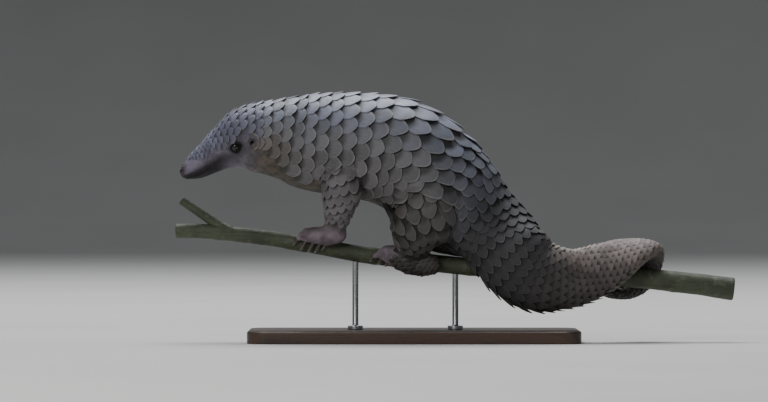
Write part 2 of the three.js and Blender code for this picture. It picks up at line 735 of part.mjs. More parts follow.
// The base plate, with its bevel on the upper edge only, so that the underside is one flat face
function baseSolid() {
  const { length, width, corner, bevel, height } = BASE;
  const [w, d] = [length / 2 - bevel, width / 2 - bevel];
  const turns = [[w, -d, -0.5], [w, d, 0], [-w, d, 0.5], [-w, -d, 1]];
  const shape = new THREE.Shape();
  for (const [x, y, start] of turns) {
    const cx = x - Math.sign(x) * corner;
    const cy = y - Math.sign(y) * corner;
    shape.absarc(cx, cy, corner, start * Math.PI, (start + 0.5) * Math.PI);
  }
  const geometry = new THREE.ExtrudeGeometry(shape, {
    depth: height - bevel,
    bevelThickness: bevel,
    bevelSize: bevel,
    bevelSegments: 1,
    curveSegments: 4,
  });
  return solidOf(geometry.translate(BASE.x, 0, 0)).trimByPlane([0, 0, 1], 0);
}

// A rod from the base up to the branch, with a collar at its foot
function rodSolid(x) {
  const top = branchAt(x).z;
  const foot = BASE.height + GAP;
  const { radius, collar, collarHeight, chamfer } = ROD;
  const profile = [
    [0, foot],
    [collar, foot],
    [collar, foot + collarHeight - chamfer],
    [collar - chamfer, foot + collarHeight],
    [radius, foot + collarHeight],
    [radius, top],
    [0, top],
  ].map(([r, z]) => new THREE.Vector2(r, z));
  const geometry = new THREE.LatheGeometry(profile, ROD.sides).rotateX(Math.PI / 2).translate(x, 0, 0);
  return fuse([solidOf(geometry).subtract(branchGrown)]);
}

// A stretch of a digit round the branch, between two shares of its way from its start to its claw's tip
function digitStretch(limb, index, { from, to, grow = 0, thickAt }) {
  const { digits, side } = limb;
  const rings = [];
  for (let i = 0; i <= DIGIT_STEPS; i += 1) {
    const share = from + ((to - from) * i) / DIGIT_STEPS;
    const turn = digits.start + (digits.ends[index] - digits.start) * share;
    const x = digits.xs[index] - digits.forward * share;
    const { z, r } = branchAt(x);
    const thick = digits.thick * thickAt(i / DIGIT_STEPS);
    const out = awayFromBranch(turn, side);
    const along = awayFromBranch(turn - 90, side).add(vec(DIGIT_SLANT, 0, 0)).normalize();
    const across = out.clone().cross(along).normalize().multiplyScalar(thick + grow);
    const centre = vec(x, 0, z).addScaledVector(out, r + GAP + thick);
    rings.push(ring(centre, across, out.multiplyScalar(thick + grow), DIGIT_SIDES));
  }
  return sweep(rings);
}

// The share of the way round at which a digit's claw begins
const clawShare = (digits, index) =>
  (digits.start - digits.claw) / (digits.start - digits.ends[index]);

// The fleshy part of a digit, which ends inside the root of its claw
function digitSolid(limb, index) {
  const to = clawShare(limb.digits, index) + 0.05;
  return digitStretch(limb, index, { from: 0, to, thickAt: (u) => 1.1 - 0.15 * u });
}

// A claw, from its root to its tip, grown by a margin
function clawSolid(limb, index, grow = 0) {
  const from = clawShare(limb.digits, index);
  const thickAt = (u) => 0.78 - 0.62 * u * u;
  return digitStretch(limb, index, { from: from - 0.02 * grow, to: 1, grow, thickAt });
}

// Grown copies of the solids that others are cut clear of
const branch = branchSolid(0);
const branchGrown = branchSolid(GAP);
const limbs = SIDES.flatMap(({ side, word }) =>
  LIMBS.map((plan) => ({
    ...plan,
    side,
    word,
    legForm: limbForm(plan.legTable, side),
    footForm: limbForm(plan.footTable, side),
  })),
);
const legRooms = limbs.map((limb) => limb.legForm.solid(0, limb.legTable.length - 1, LEG_ROOM));
const trunkRoom = bodyUnderLegs(GAP);

// One leg, scaled on its outer side, clear of the trunk, its foot and the branch
function legSolid(limb) {
  const form = limb.legForm;
  const footRoom = limb.footForm.solid(0, FOOT_END, { ...FOOT_MESH, grow: GAP });
  const bare = (t, phi, width) => {
    const { a, b } = form.section(t);
    const past = arcAtAngle(a, b, Math.abs(phi)) - arcAtAngle(a, b, rad(limb.cover));
    return smooth(past / (COAT_FADE * width) + 0.5);
  };
  const coat = new Coat(form, COATS[limb.leg], bare);
  return fuse([wasm.Manifold.difference([coat.solid(0, coat.rows), trunkRoom, footRoom, branchGrown])]);
}

// One foot with its digits, clear of the branch and of its own claws
function footSolid(limb) {
  const core = limb.footForm.solid(0, FOOT_END, FOOT_MESH);
  const digits = limb.digits.xs.map((_, i) => digitSolid(limb, i));
  const claws = limb.digits.xs.map((_, i) => clawSolid(limb, i, GAP));
  const joined = wasm.Manifold.union([core, ...digits]);
  return fuse([wasm.Manifold.difference([joined, branchGrown, trunkRoom, ...claws])]);
}

const trunkCoats = {};
for (const { coat } of PARTS) trunkCoats[coat] ??= new Coat(trunk, COATS[coat], trunkBare);

// A named mesh from a solid
function meshOf(name, made, colour, { roughness = 0.7, metalness = 0 } = {}) {
  const { numProp, numVert, vertProperties, triVerts } = made.getMesh();
  const positions = new Float32Array(numVert * 3);
  for (let i = 0; i < numVert; i += 1) {
    positions.set(vertProperties.subarray(i * numProp, i * numProp + 3), i * 3);
  }
  const geometry = new THREE.BufferGeometry();
  geometry.setAttribute("position", new THREE.BufferAttribute(positions, 3));
  geometry.setIndex(new THREE.BufferAttribute(new Uint32Array(triVerts), 1));
  geometry.computeVertexNormals();
  const material = new THREE.MeshStandardMaterial({ color: colour, roughness, metalness });
  const node = new THREE.Mesh(geometry, material);
  node.name = name;
  return node;
}

const group = new THREE.Group();
const addNode = (...about) => group.add(meshOf(...about));

for (const part of PARTS) addNode(part.name, trunkPart(part), COLOURS.scales);
const headRoom = trunk.solid(0, PARTS[0].to, { step: 5, sides: 32, grow: 2 * GAP });
for (const { side, word } of SIDES) {
  addNode(`eye_${word}`, eyeBall(side, 0), COLOURS.eye, { roughness: 0.1 });
  addNode(`ear_${word}`, fuse([earFlap(side).subtract(headRoom)]), COLOURS.skin);
}
for (const limb of limbs) {
  addNode(`${limb.leg}_${limb.word}`, legSolid(limb), COLOURS.scales);
  addNode(`${limb.foot}_${limb.word}`, footSolid(limb), COLOURS.skin);
  limb.digits.xs.forEach((_, i) => {
    addNode(`${limb.claw}_${limb.word}_${i + 1}`, clawSolid(limb, i), COLOURS.claw, { roughness: 0.4 });
  });
}
addNode("branch", branch, COLOURS.bark);
addNode("branch_shoot", shootSolid(), COLOURS.bark);
addNode("stand_base", baseSolid(), COLOURS.base);
ROD_PLACES.forEach((x, i) => {
  addNode(`stand_rod_${i + 1}`, rodSolid(x), COLOURS.rod, { roughness: 0.35, metalness: 0.9 });
});

export default group;
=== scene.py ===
# %% [markdown]
# A life-size pangolin walking along a branch, as a museum would show it: a branch is held over a flat base
# by two rods, and the animal grips it with its feet and with the end of its tail.
# The solids of the model are already built and packed. They are the frame here, and nothing moves or
# resizes them. This lesson gives the animal one continuous skin, lays about fifteen hundred overlapping
# horn scales over it, and finishes the face, the claws, the branch and the stand.

# %% Load the frame
import math

import bmesh
import bpy
import numpy as np
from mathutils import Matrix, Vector


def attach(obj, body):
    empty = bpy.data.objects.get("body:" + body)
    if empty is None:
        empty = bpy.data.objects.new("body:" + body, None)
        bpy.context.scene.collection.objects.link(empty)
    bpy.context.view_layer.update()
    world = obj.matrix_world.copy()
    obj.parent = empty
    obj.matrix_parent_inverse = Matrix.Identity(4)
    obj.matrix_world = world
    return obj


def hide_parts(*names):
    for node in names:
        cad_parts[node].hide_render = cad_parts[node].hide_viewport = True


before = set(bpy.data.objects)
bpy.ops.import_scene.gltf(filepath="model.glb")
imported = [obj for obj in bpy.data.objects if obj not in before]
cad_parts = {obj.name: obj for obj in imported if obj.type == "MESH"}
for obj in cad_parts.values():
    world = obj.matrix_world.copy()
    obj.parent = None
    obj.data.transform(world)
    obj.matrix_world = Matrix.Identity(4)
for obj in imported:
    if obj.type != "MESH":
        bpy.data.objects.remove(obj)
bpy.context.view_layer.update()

# %% [markdown]
# Shapes are worked out in millimetres as whole arrays, and become metres only when they are put into a
# mesh. The first helpers give soft steps, bumps and smooth curves, which most of the shapes below are made
# of. The next list the faces between rows of points and put both into a mesh.

# %% Steps, bumps and curves
MM = 0.001
draws = np.random.default_rng(11)


def unit(v):
    """Each vector divided by its own length."""
    return v / np.maximum(np.linalg.norm(v, axis=-1, keepdims=True), 1e-9)


def fade(value, start, end):
    """A soft step from 0 at start to 1 at end: 3 x^2 - 2 x^3, where x is the share of the way done."""
    x = np.clip((value - start) / (end - start), 0, 1)
    return x * x * (3 - 2 * x)


def ridge(distance, width):
    """A smooth bump of height 1 at distance 0: exp(-(distance / width)^2)."""
    return np.exp(-((distance / width) ** 2))


def full_turn(count):
    """Evenly spaced angles once round a circle."""
    return np.linspace(0, 2 * np.pi, count, endpoint=False)


def between(table, t):
    """Catmull-Rom: the smooth curve through the rows of a table, at fractional row numbers t."""
    table = np.asarray(table, float)
    last = len(table) - 1
    i = np.clip(np.floor(t).astype(int), 0, last - 1)
    u = (t - i).reshape(np.shape(t) + (1,) * (table.ndim - 1))
    p0, p1, p2, p3 = (table[np.clip(i + k, 0, last)] for k in (-1, 0, 1, 2))
    return p1 + 0.5 * u * (p2 - p0 + u * (2 * p0 - 5 * p1 + 4 * p2 - p3 + u * (3 * (p1 - p2) + p3 - p0)))


# %% Faces and meshes
def grid_faces(rows, columns, start=0):
    """Quads between neighbouring points of a grid whose columns close round."""
    r, c = np.meshgrid(np.arange(rows - 1), np.arange(columns), indexing="ij")
    a = start + r * columns + c
    b = start + r * columns + (c + 1) % columns
    return np.stack([a, b, b + columns, a + columns], -1).reshape(-1, 4).tolist()


def tube_faces(rows, columns, start=0):
    """The quads of a closed tube, and one face over each end."""
    first = list(range(start, start + columns))[::-1]
    last = list(range(start + (rows - 1) * columns, start + rows * columns))
    return grid_faces(rows, columns, start) + [first, last]


def shade_smooth(mesh):
    """Lets the light run smoothly over all faces."""
    mesh.polygons.foreach_set("use_smooth", np.full(len(mesh.polygons), True))


def make_piece(name, points, faces):
    """An object at the origin, from points in millimetres and faces."""
    mesh = bpy.data.meshes.new(name)
    mesh.from_pydata((np.reshape(points, (-1, 3)) * MM).tolist(), [], faces)
    mesh.update()
    shade_smooth(mesh)
    piece = bpy.data.objects.new(name, mesh)
    bpy.context.scene.collection.objects.link(piece)
    return piece


def tube_piece(name, rings, sharp=None):
    """A closed tube through rings of points. Edges that turn by more than sharp degrees stay crisp."""
    piece = make_piece(name, rings, tube_faces(*rings.shape[:2]))
    if sharp:
        piece.data.set_sharp_from_angle(angle=math.radians(sharp))
    return piece


def points_of(mesh, key="co"):
    """The places ("co") or the normals ("normal") of a mesh's vertices, as rows of three."""
    values = np.empty(len(mesh.vertices) * 3, np.float32)
    mesh.vertices.foreach_get(key, values)
    return values.reshape(-1, 3).astype(float)


def bake_modifiers(piece):
    """Replaces a piece's mesh by what its modifiers make of it."""
    graph = bpy.context.evaluated_depsgraph_get()
    piece.data = bpy.data.meshes.new_from_object(piece.evaluated_get(graph))
    piece.modifiers.clear()
    shade_smooth(piece.data)


def set_number(mesh, name, values):
    """Stores one number for each point, for materials to read."""
    attribute = mesh.attributes.new(name, "FLOAT", "POINT")
    attribute.data.foreach_set("value", np.asarray(values, np.float32).ravel())


# %% [markdown]
# The branch runs along x in the plane y = 0. Its centre line and radius come first, because the feet and
# the tail are placed by the angle round it.

# %% Sizes of the branch
# x, height and radius along the branch, where it is cut off, and the gap between touching pieces
BRANCH = np.array([
    [-351, 143.5, 9.8], [-286, 144, 10], [-221, 138, 10.4], [-169, 130, 10.6], [-71, 113, 11.2],
    [52, 99, 11.9], [182, 89.5, 12.6], [286, 83, 13.4], [364, 75, 14.4], [416, 68, 15.4],
])
BRANCH_ENDS = (-318, 408)
TOUCH = 0.3


def branch_at(x):
    """Centre and radius of the branch at a distance x along it."""
    x = np.asarray(x, float)
    row = between(BRANCH[:, 1:], np.interp(x, BRANCH[:, 0], np.arange(len(BRANCH))))
    return np.stack([x, 0 * x, row[..., 0]], -1), row[..., 1]


def off_branch(turn, side=-1):
    """Direction away from the branch at an angle in degrees: cos to the side, sin up."""
    turn = np.radians(turn)
    return np.stack([0 * turn, side * np.cos(turn), np.sin(turn)], -1)


# %% [markdown]
# The animal's body is a chain of ellipses along a smooth line. A station says where the ellipse's centre
# is, how wide (a) and high (b) it is, and which way its back faces. Between stations everything is
# interpolated, so any place on the body is two numbers: the station t and the angle from the back line.

# %% Stations of the trunk, the tail and the limbs
# Trunk: x, y, z, a, b, roll of the back towards the left in degrees
TRUNK = np.array([
    [-312, 0, 216.6, 3.6, 5, 0], [-306, 0, 219.8, 8.4, 10.2, 0], [-291, 0, 228, 13, 17.6, 0],
    [-272, 0, 240.2, 18.5, 22.4, 0], [-252, 0, 253, 25, 30, 0], [-230, 0, 261.5, 31.5, 42, 0],
    [-205, 0, 264.5, 36, 47, 0], [-175.5, 0, 263.5, 41, 54.5, 0], [-149.5, 0, 260, 47, 62, 0],
    [-113, 0, 257, 53, 66.5, 0], [-74, 0, 254, 57, 69, 0], [-32.5, 0, 245.5, 60, 72, 0],
    [-1, 0, 228.5, 62, 72, 0], [27, 0, 201, 61, 72, 0], [62, -4, 173, 56, 61, 14],
    [96, -20, 142.5, 51, 36, 50], [121, -43, 109, 49, 28, 74], [153, -42, 86, 45.5, 24, 88],
])
# Tail round the branch: x, angle round it, clearance of the scales from the bark, a, b. Its scales stand
# off its form by up to SCALE_ROOM
TAIL = np.array([
    [200, -8, 1, 36.5, 18.5], [239, 22, 3, 32, 15.5], [270, 57, 8, 28.5, 14], [290, 95, 9, 26, 12.5],
    [295, 140, 5, 22.5, 11], [286, 184, 2, 19, 9.5], [268, 226, 1, 15, 8], [248, 264, 1, 10.5, 6],
    [234, 288, 1, 5, 3.6],
])
SCALE_ROOM = 2.9
# Limbs: x, distance from the middle plane, z, a fore and aft, b outwards
FORELEG = np.array([
    [-103, 18, 262, 28, 18], [-102, 28, 234, 31, 21], [-100, 36, 206, 28, 20], [-104, 34, 182, 22, 16],
    [-107, 27, 163, 17, 13], [-110, 22, 150, 14.5, 11], [-112, 20, 139, 8, 6],
])
HINDLEG = np.array([
    [44, 16, 238, 34, 18], [36, 30, 212, 41, 25], [22, 38, 187, 45, 29], [7, 41, 163, 43, 27],
    [-4, 38, 142, 36, 21], [-7, 32, 124, 25, 15], [-6, 24, 106, 12, 7],
])
FOREFOOT = np.array([
    [-96, 18, 141, 6, 6], [-104, 19, 140.5, 12, 10.5], [-122, 19.5, 138.5, 12.5, 11],
    [-139, 19, 140.5, 9.5, 9.5], [-152, 18, 144, 5.5, 6.5],
])
HINDFOOT = np.array([
    [26, 21, 97, 7, 6], [14, 22, 100, 14, 11], [-10, 22, 105, 18, 12], [-32, 21, 112, 14.5, 10.5],
    [-50, 19, 118, 8.5, 7.5],
])
SIDES = {"left": -1, "right": 1}


# %% A form: sections along a line
class Form:
    """A body of elliptical sections along a smooth line.

    point(t, phi) = centre + a sin(phi) side + b cos(phi) back. Lengths along the line and round the
    sections are kept in tables, so that scales can be laid out by millimetres."""

    def __init__(self, centres, backs, a, b):
        self.rows = np.column_stack([centres, backs, a, b])
        self.ts = np.linspace(0, len(a) - 1, 50 * (len(a) - 1) + 1)
        line = between(self.rows[:, :3], self.ts)
        steps = np.linalg.norm(np.diff(line, axis=0), axis=1)
        self.arcs = np.concatenate([[0], np.cumsum(steps)])
        phi = np.linspace(0, np.pi, 181)
        wide, high = between(self.rows[:, 6:], self.ts).T[..., None]
        rate = np.hypot(wide * np.cos(phi), high * np.sin(phi))
        arc = np.concatenate([0 * wide, np.cumsum((rate[:, 1:] + rate[:, :-1]) / 2, 1) * phi[1]], 1)
        self.half_girths = arc[:, -1]
        share = np.linspace(0, 1, 101)
        self.angles = np.array([np.interp(share, row / row[-1], phi) for row in arc])

    def section(self, t):
        """Centre, tangent, back and side directions, and the half axes a and b at t."""
        here = between(self.rows, t)
        step = 0.02
        tangent = unit(between(self.rows[:, :3], t + step) - between(self.rows[:, :3], t - step))
        back = here[..., 3:6]
        back = unit(back - np.sum(back * tangent, -1, keepdims=True) * tangent)
        return here[..., :3], tangent, back, np.cross(tangent, back), here[..., 6:7], here[..., 7:8]

    def point(self, t, phi, lift=0.0):
        """Surface point at station t and angle phi, moved out by lift along the section's normal."""
        centre, _, back, side, a, b = self.section(t)
        sin, cos = np.sin(phi)[..., None], np.cos(phi)[..., None]
        normal = unit(side * sin / a + back * cos / b)
        return centre + a * sin * side + b * cos * back + np.asarray(lift)[..., None] * normal

    def arc(self, t):
        return np.interp(t, self.ts, self.arcs)

    def station(self, arc):
        return np.interp(arc, self.arcs, self.ts)

    def half_girth(self, t):
        return np.interp(t, self.ts, self.half_girths)

    def angle(self, t, share):
        """The angle from the back line at a share of the half girth, negative to the right."""
        share = (share + 1) % 2 - 1
        row = np.clip(t / self.ts[-1], 0, 1) * (len(self.ts) - 1)
        column = np.abs(share) * 100
        r, c = np.floor(row).astype(int), np.floor(column).astype(int)
        r1, c1 = np.minimum(r + 1, len(self.ts) - 1), np.minimum(c + 1, 100)
        fr, fc = row - r, column - c
        low = self.angles[r, c] * (1 - fc) + self.angles[r, c1] * fc
        high = self.angles[r1, c] * (1 - fc) + self.angles[r1, c1] * fc
        return np.sign(share) * (low * (1 - fr) + high * fr)

    def grid(self, rows, columns, inset=0.0):
        """A closed tube's points over the whole form, pulled in by inset."""
        t, phi = np.meshgrid(np.linspace(0, len(self.rows) - 1, rows), full_turn(columns), indexing="ij")
        return self.point(t, phi, np.full(t.shape, -inset))


# %% [markdown]
# The trunk and the tail are one form. Along the trunk the back faces up and rolls over towards the viewer
# at the rump. On the tail the back faces away from the branch, because the tail lies on it with its belly
# side. Legs and feet are forms of their own, one for each side.

# %% Forms of the body
def trunk_form():
    """Stations of the trunk, then of the tail, whose centre stands off the bark by its own half height."""
    centres = TRUNK[:, :3]
    tangent = unit(np.roll(centres, -1, 0) - np.roll(centres, 1, 0))
    tangent[0], tangent[-1] = unit(centres[1] - centres[0]), unit(centres[-1] - centres[-2])
    up = unit(np.array([0, 0, 1]) - tangent[:, 2:] * tangent)
    left = np.cross(tangent, up)
    roll = np.radians(TRUNK[:, 5:])
    backs = up * np.cos(roll) + left * np.sin(roll)
    on_line, r = branch_at(TAIL[:, 0])
    out = off_branch(TAIL[:, 1])
    wound = on_line + out * (r + TAIL[:, 2] + SCALE_ROOM + TAIL[:, 4])[:, None]
    sizes = np.concatenate([TRUNK[:, 3:5], TAIL[:, 3:5]])
    return Form(np.concatenate([centres, wound]), np.concatenate([backs, out]), *sizes.T)


def limb_form(table, side):
    """A limb's stations on one side, with its outer face as its back."""
    centres = table[:, :3] * [1, side, 1]
    backs = np.tile([0.0, side, 0.0], (len(table), 1))
    return Form(centres, backs, table[:, 3], table[:, 4])


trunk = trunk_form()
LIMBS = {"foreleg": FORELEG, "hindleg": HINDLEG, "forefoot": FOREFOOT, "hindfoot": HINDFOOT}
limbs = {f"{name}_{word}": limb_form(table, side)
         for name, table in LIMBS.items() for word, side in SIDES.items()}
print("trunk and tail, mm along the middle:", round(trunk.arcs[-1]), "stations:", len(trunk.rows))

# %% [markdown]
# Each foot has five digits that lie round the branch. A digit creeps forward along the bark while it
# turns round it, and its claw is the last part of the same way.

# %% Digits
# For each foot: where its digits stand along the branch, the angles round it at which their claws end, the
# angles at which digits and claws start, how far they creep forward, and half their thickness
DIGITS = {
    "forefoot": {"xs": [-152, -142.8, -133.6, -124.4, -115.2], "ends": [-20, -46, -60, -48, -22],
                 "start": 62, "claw": 18, "forward": 13, "thick": 4.1},
    "hindfoot": {"xs": [-54, -44.5, -35, -25.5, -16], "ends": [-36, -56, -64, -60, -46],
                 "start": 44, "claw": -2, "forward": 11, "thick": 4.2},
}
DIGIT_SLANT = -0.2
# A finger starts this far behind its claw, at these angles on the foot, with its line this far inside it
FINGER = {"behind": 17, "top": 62, "low": -75, "sunk": 2.2}
RING_SIDES = 16


def claw_share(plan, index):
    """The share of a digit's way at which its claw begins."""
    return (plan["start"] - plan["claw"]) / (plan["start"] - plan["ends"][index])


def rings_round(centre, wide, high):
    """Ellipses round a line: centre + wide sin(angle) + high cos(angle)."""
    angle = full_turn(RING_SIDES)[None, :, None]
    return centre[:, None] + wide[:, None] * np.sin(angle) + high[:, None] * np.cos(angle)


def digit_line(plan, index, side, shares, thick):
    """Centres, outward and cross directions: angle and place along the branch run with the share."""
    turn = plan["start"] + (plan["ends"][index] - plan["start"]) * shares
    on_line, r = branch_at(plan["xs"][index] - plan["forward"] * shares)
    out = off_branch(turn, side)
    along = unit(off_branch(turn - 90, side) + np.array([DIGIT_SLANT, 0, 0]))
    return on_line + out * (r + TOUCH + thick)[:, None], out, unit(np.cross(out, along))


def digit_flesh(foot, plan, index, side):
    """A finger: it starts on top of the foot, runs down its outer face, and closes round the claw's root.

    The line goes from a curve on the foot to the digit's own way round the branch, by a soft step."""
    u = np.linspace(0, 1, 26)
    # Full at the knuckle halfway, full again at the claw's root, and drawn in at the very end
    thick = plan["thick"] * (0.92 + 0.24 * ridge(u - 0.5, 0.16) + 0.12 * fade(u, 2 / 3, 1))
    thick = thick * np.sqrt(1 - 0.45 * u**12)
    share = claw_share(plan, index) + 0.05 - 0.4 * (1 - u)
    way, out, _ = digit_line(plan, index, side, share, thick)
    x = plan["xs"][index] + FINGER["behind"] * (1 - u) - plan["forward"] * share
    xs = foot.point(foot.ts, 0 * foot.ts)[:, 0]
    t = np.interp(-x, -xs, foot.ts)
    phi = np.radians(-side * (FINGER["top"] + (FINGER["low"] - FINGER["top"]) * u))
    on_foot = foot.point(t, phi, -FINGER["sunk"] - 0 * t)
    blend = fade(u, 0.45, 0.95)[:, None]
    centre = on_foot * (1 - blend) + way * blend
    skin_out = unit(foot.point(t, phi, 1 + 0 * t) - foot.point(t, phi))
    out = unit(skin_out * (1 - blend) + out * blend)
    run = unit(np.gradient(centre, axis=0))
    across = unit(np.cross(out, run))
    return rings_round(centre, across * thick[:, None], np.cross(run, across) * thick[:, None])


# %% [markdown]
# The skin is one mesh. All the forms are put together as overlapping closed tubes, and a voxel remesh
# fuses them into a single surface. A few rounds of smoothing then melt the creases where a leg leaves the
# body. The face and the feet need a finer mesh than the flanks, so only their faces are divided again.

# %% One skin from all the forms
VOXEL = 2.6
SKIN_INSET = 0.6
# The full underside between the hind legs and the root of the tail, an ellipsoid
VENT = {"x": 35, "z": 125.8, "long": 36, "wide": 20, "high": 12.2, "drop": 4.5}
skin_points, skin_faces = [], []


def add_tube(points):
    """Adds a closed tube to the lists that the skin is made from."""
    start = sum(len(p) for p in skin_points)
    skin_faces.extend(tube_faces(*points.shape[:2], start))
    skin_points.append(points.reshape(-1, 3))


def vent_points():
    """Rings of the ellipsoid: at the angle u they stand at -cos(u) of its length, with sin(u) of its size."""
    u = np.linspace(0.08, np.pi - 0.08, 28)
    centre = np.stack([VENT["x"] - VENT["long"] * np.cos(u), 0 * u, VENT["z"] + VENT["drop"] * np.cos(u)], -1)
    wide, high = np.array([0, VENT["wide"], 0]), np.array([0, 0, VENT["high"]])
    return rings_round(centre, wide * np.sin(u)[:, None], high * np.sin(u)[:, None])


add_tube(trunk.grid(420, 90, SKIN_INSET))
for name, form in limbs.items():
    add_tube(form.grid(60, 48, SKIN_INSET * ("leg" in name)))
for name, plan in DIGITS.items():
    for word, side in SIDES.items():
        for index in range(len(plan["xs"])):
            add_tube(digit_flesh(limbs[f"{name}_{word}"], plan, index, side))
add_tube(vent_points())
skin = make_piece("skin", np.concatenate(skin_points), skin_faces)
remesh = skin.modifiers.new("fuse", "REMESH")
remesh.mode = "VOXEL"
remesh.voxel_size = VOXEL * MM
soften = skin.modifiers.new("soften", "SMOOTH")
soften.factor = 0.5
soften.iterations = 6
bake_modifiers(skin)
print("fused skin:", len(skin.data.vertices), "points")

# %% Finer mesh on the head and the feet
HEAD_END = -186
# The feet lie under "top", within "long" of x and within "wide" of the middle plane
FEET = {"x": -62, "long": 92, "wide": 40, "top": 150}


def divide_faces(piece, chosen):
    """Divides the edges whose two ends chosen() picks, so that those faces get finer."""
    work = bmesh.new()
    work.from_mesh(piece.data)
    picked = chosen(points_of(piece.data) / MM)
    edges = [e for e in work.edges if picked[e.verts[0].index] and picked[e.verts[1].index]]
    bmesh.ops.subdivide_edges(work, edges=edges, cuts=1, use_grid_fill=True, smooth=0.6)
    work.to_mesh(piece.data)
    work.free()


def at_feet(p):
    """Which points lie in the box round the feet."""
    x, y, z = p.T
    return (z < FEET["top"]) & (np.abs(x - FEET["x"]) < FEET["long"]) & (np.abs(y) < FEET["wide"])


divide_faces(skin, lambda p: p[:, 0] < HEAD_END)
divide_faces(skin, at_feet)
print("with a finer head and finer feet:", len(skin.data.vertices), "points")

# %% [markdown]
# Eye and ear are placed where they are seen from the side, on the surface that carries them. Around each
# of them there is a small frame of directions: outwards, backwards and up along the cheek.

# %% Places of the eye and the ear
# The eyeball's radius, how deep it is sunk and how far it bulges, and half the size of the lids' opening.
# The ear's half length and height, the angles between which its flap runs, and the flap's own sizes
EYE = {"x": -239, "z": 253, "radius": 5.2, "sunk": 0.2, "deep": 3.5, "long": 5.1, "high": 4.6}
EAR = {"x": -217, "z": 260.6, "long": 7.2, "high": 10.4, "from": -84, "to": 84, "lift": 0.4, "flap": 4.2,
       "thick": 1.25, "lean": 0.35}


def seat_on_head(x, z):
    """The station and angle of the left side whose point lies nearest to x and z."""
    t, phi = np.meshgrid(np.arange(3, 7, 0.02), np.radians(np.arange(20, 150, 0.5)), indexing="ij")
    p = trunk.point(t, phi)
    best = np.argmin(np.hypot(p[..., 0] - x, p[..., 2] - z))
    return t.ravel()[best], phi.ravel()[best]


def face_frame(place, side):
    """Point, outward normal, backward and upward directions on the head, mirrored for the right."""
    t, phi = (np.array([v]) for v in seat_on_head(place["x"], place["z"]))
    point = trunk.point(t, phi, np.array([-SKIN_INSET]))[0]
    normal = unit(trunk.point(t, phi, np.array([1.0]))[0] - trunk.point(t, phi)[0])
    back = trunk.point(t + 0.05, phi)[0] - trunk.point(t, phi)[0]
    back = unit(back - back @ normal * normal)
    up = np.cross(normal, back)
    up = up if up[2] > 0 else -up
    mirror = np.array([1, -side, 1])
    return [v * mirror for v in (point, normal, back, up)]


print("eye seat:", [round(float(v), 2) for v in seat_on_head(EYE["x"], EYE["z"])])

# %% Finest mesh round the eyes and ears
FACE_REACH = 13.5


def near_place(points, place, reach):
    """Which points lie within reach of the eye, or of the ear, on either side."""
    seats = [face_frame(place, side)[0] for side in SIDES.values()]
    return np.any([np.linalg.norm(points - seat, axis=-1) < reach for seat in seats], axis=0)


divide_faces(skin, lambda p: near_place(p, EYE, FACE_REACH) | near_place(p, EAR, FACE_REACH))
print("with the finest mesh round eyes and ears:", len(skin.data.vertices), "points")

# %% [markdown]
# The fine forms of the face move the points of the skin along its normals. Each form is a height in
# millimetres that depends on the distance from a place or from a line. The same distances say how dark
# the skin is there: painted shade in the hollows, and darker blotches round the eye.

# %% Socket and lids
# How far from the plane of the eye or the ear a point may lie to belong to it
PLACE_DEPTH = 14
SOCKET_DEPTH = 4.2
# Rings round the eye: their height in mm, their distance from its middle and their width in eye radii
LID, CREASE = (1.5, 1.14, 0.2), (-0.55, 1.5, 0.13)
FOLD, UPPER_CREASE = (0.6, 1.8, 0.16), (-0.4, 2.1, 0.14)
# Blotches round the eye: their strength, and each as an oval, which is its middle backwards and upwards and
# its half size both ways, in mm. They darken the skin behind and below the eye, and lighten the cheek
EYE_BLOTCHES = {0.35: (9, 5, 6, 7.8), 0.55: (-2, -8, 13, 11), -0.3: (17, -4, 7, 7)}


def seen_from(place, side, p):
    """Distances of points backwards (u) and upwards (v) from the eye or the ear, and which are near it."""
    point, normal, back, up = face_frame(place, side)
    d = p - point
    return d @ back, d @ up, (np.abs(d @ normal) < PLACE_DEPTH) & (p[:, 1] * side > 0)


def from_middle(u, v, oval):
    """Distance from an oval's middle, where 1 is its edge."""
    backwards, upwards, long, high = oval
    return np.sqrt(((u - backwards) / long) ** 2 + ((v - upwards) / high) ** 2)


def ring_lift(r, ring):
    """A ridge or a groove all round at one distance."""
    high, at, width = ring
    return high * ridge(r - at, width)


def eye_relief(p, side):
    """Lift of the skin near the eye: a socket, two lids, and folds that follow them."""
    u, v, near = seen_from(EYE, side, p)
    # The lids meet in a point at the front and back corners
    r = np.sqrt((u / EYE["long"]) ** 2 + (np.abs(v) / (EYE["high"] * np.cos(np.clip(u / 9, -1.2, 1.2)))) ** 2)
    lift = -SOCKET_DEPTH * fade(r, 1.0, 0.7) + ring_lift(r, LID)
    lift += ring_lift(r, FOLD) * (0.7 + 0.3 * np.sign(v)) + ring_lift(r, CREASE)
    lift += ring_lift(r, UPPER_CREASE) * (v > 0)
    # Painted shade in and round the socket, then the blotches
    shade = 0.7 * fade(r, 2.6, 1.1)
    for strength, oval in EYE_BLOTCHES.items():
        shade += strength * ridge(from_middle(u, v, oval), 1)
    return np.where(near & (r < 4), lift, 0), np.where(near, shade, 0)


# %% Cup and opening of the ear
# Three ovals: the cup, the opening and the rim before it, and how far each lifts the skin
CUP, OPENING, FRONT_RIM = (1.2, 0, 6.2, 9.4), (-0.6, -3.6, 2.6, 4.2), (-6.3, -2, 1.8, 3.96)
CUP_LIFT, OPENING_LIFT, RIM_LIFT = -2.2, -3.6, 0.9


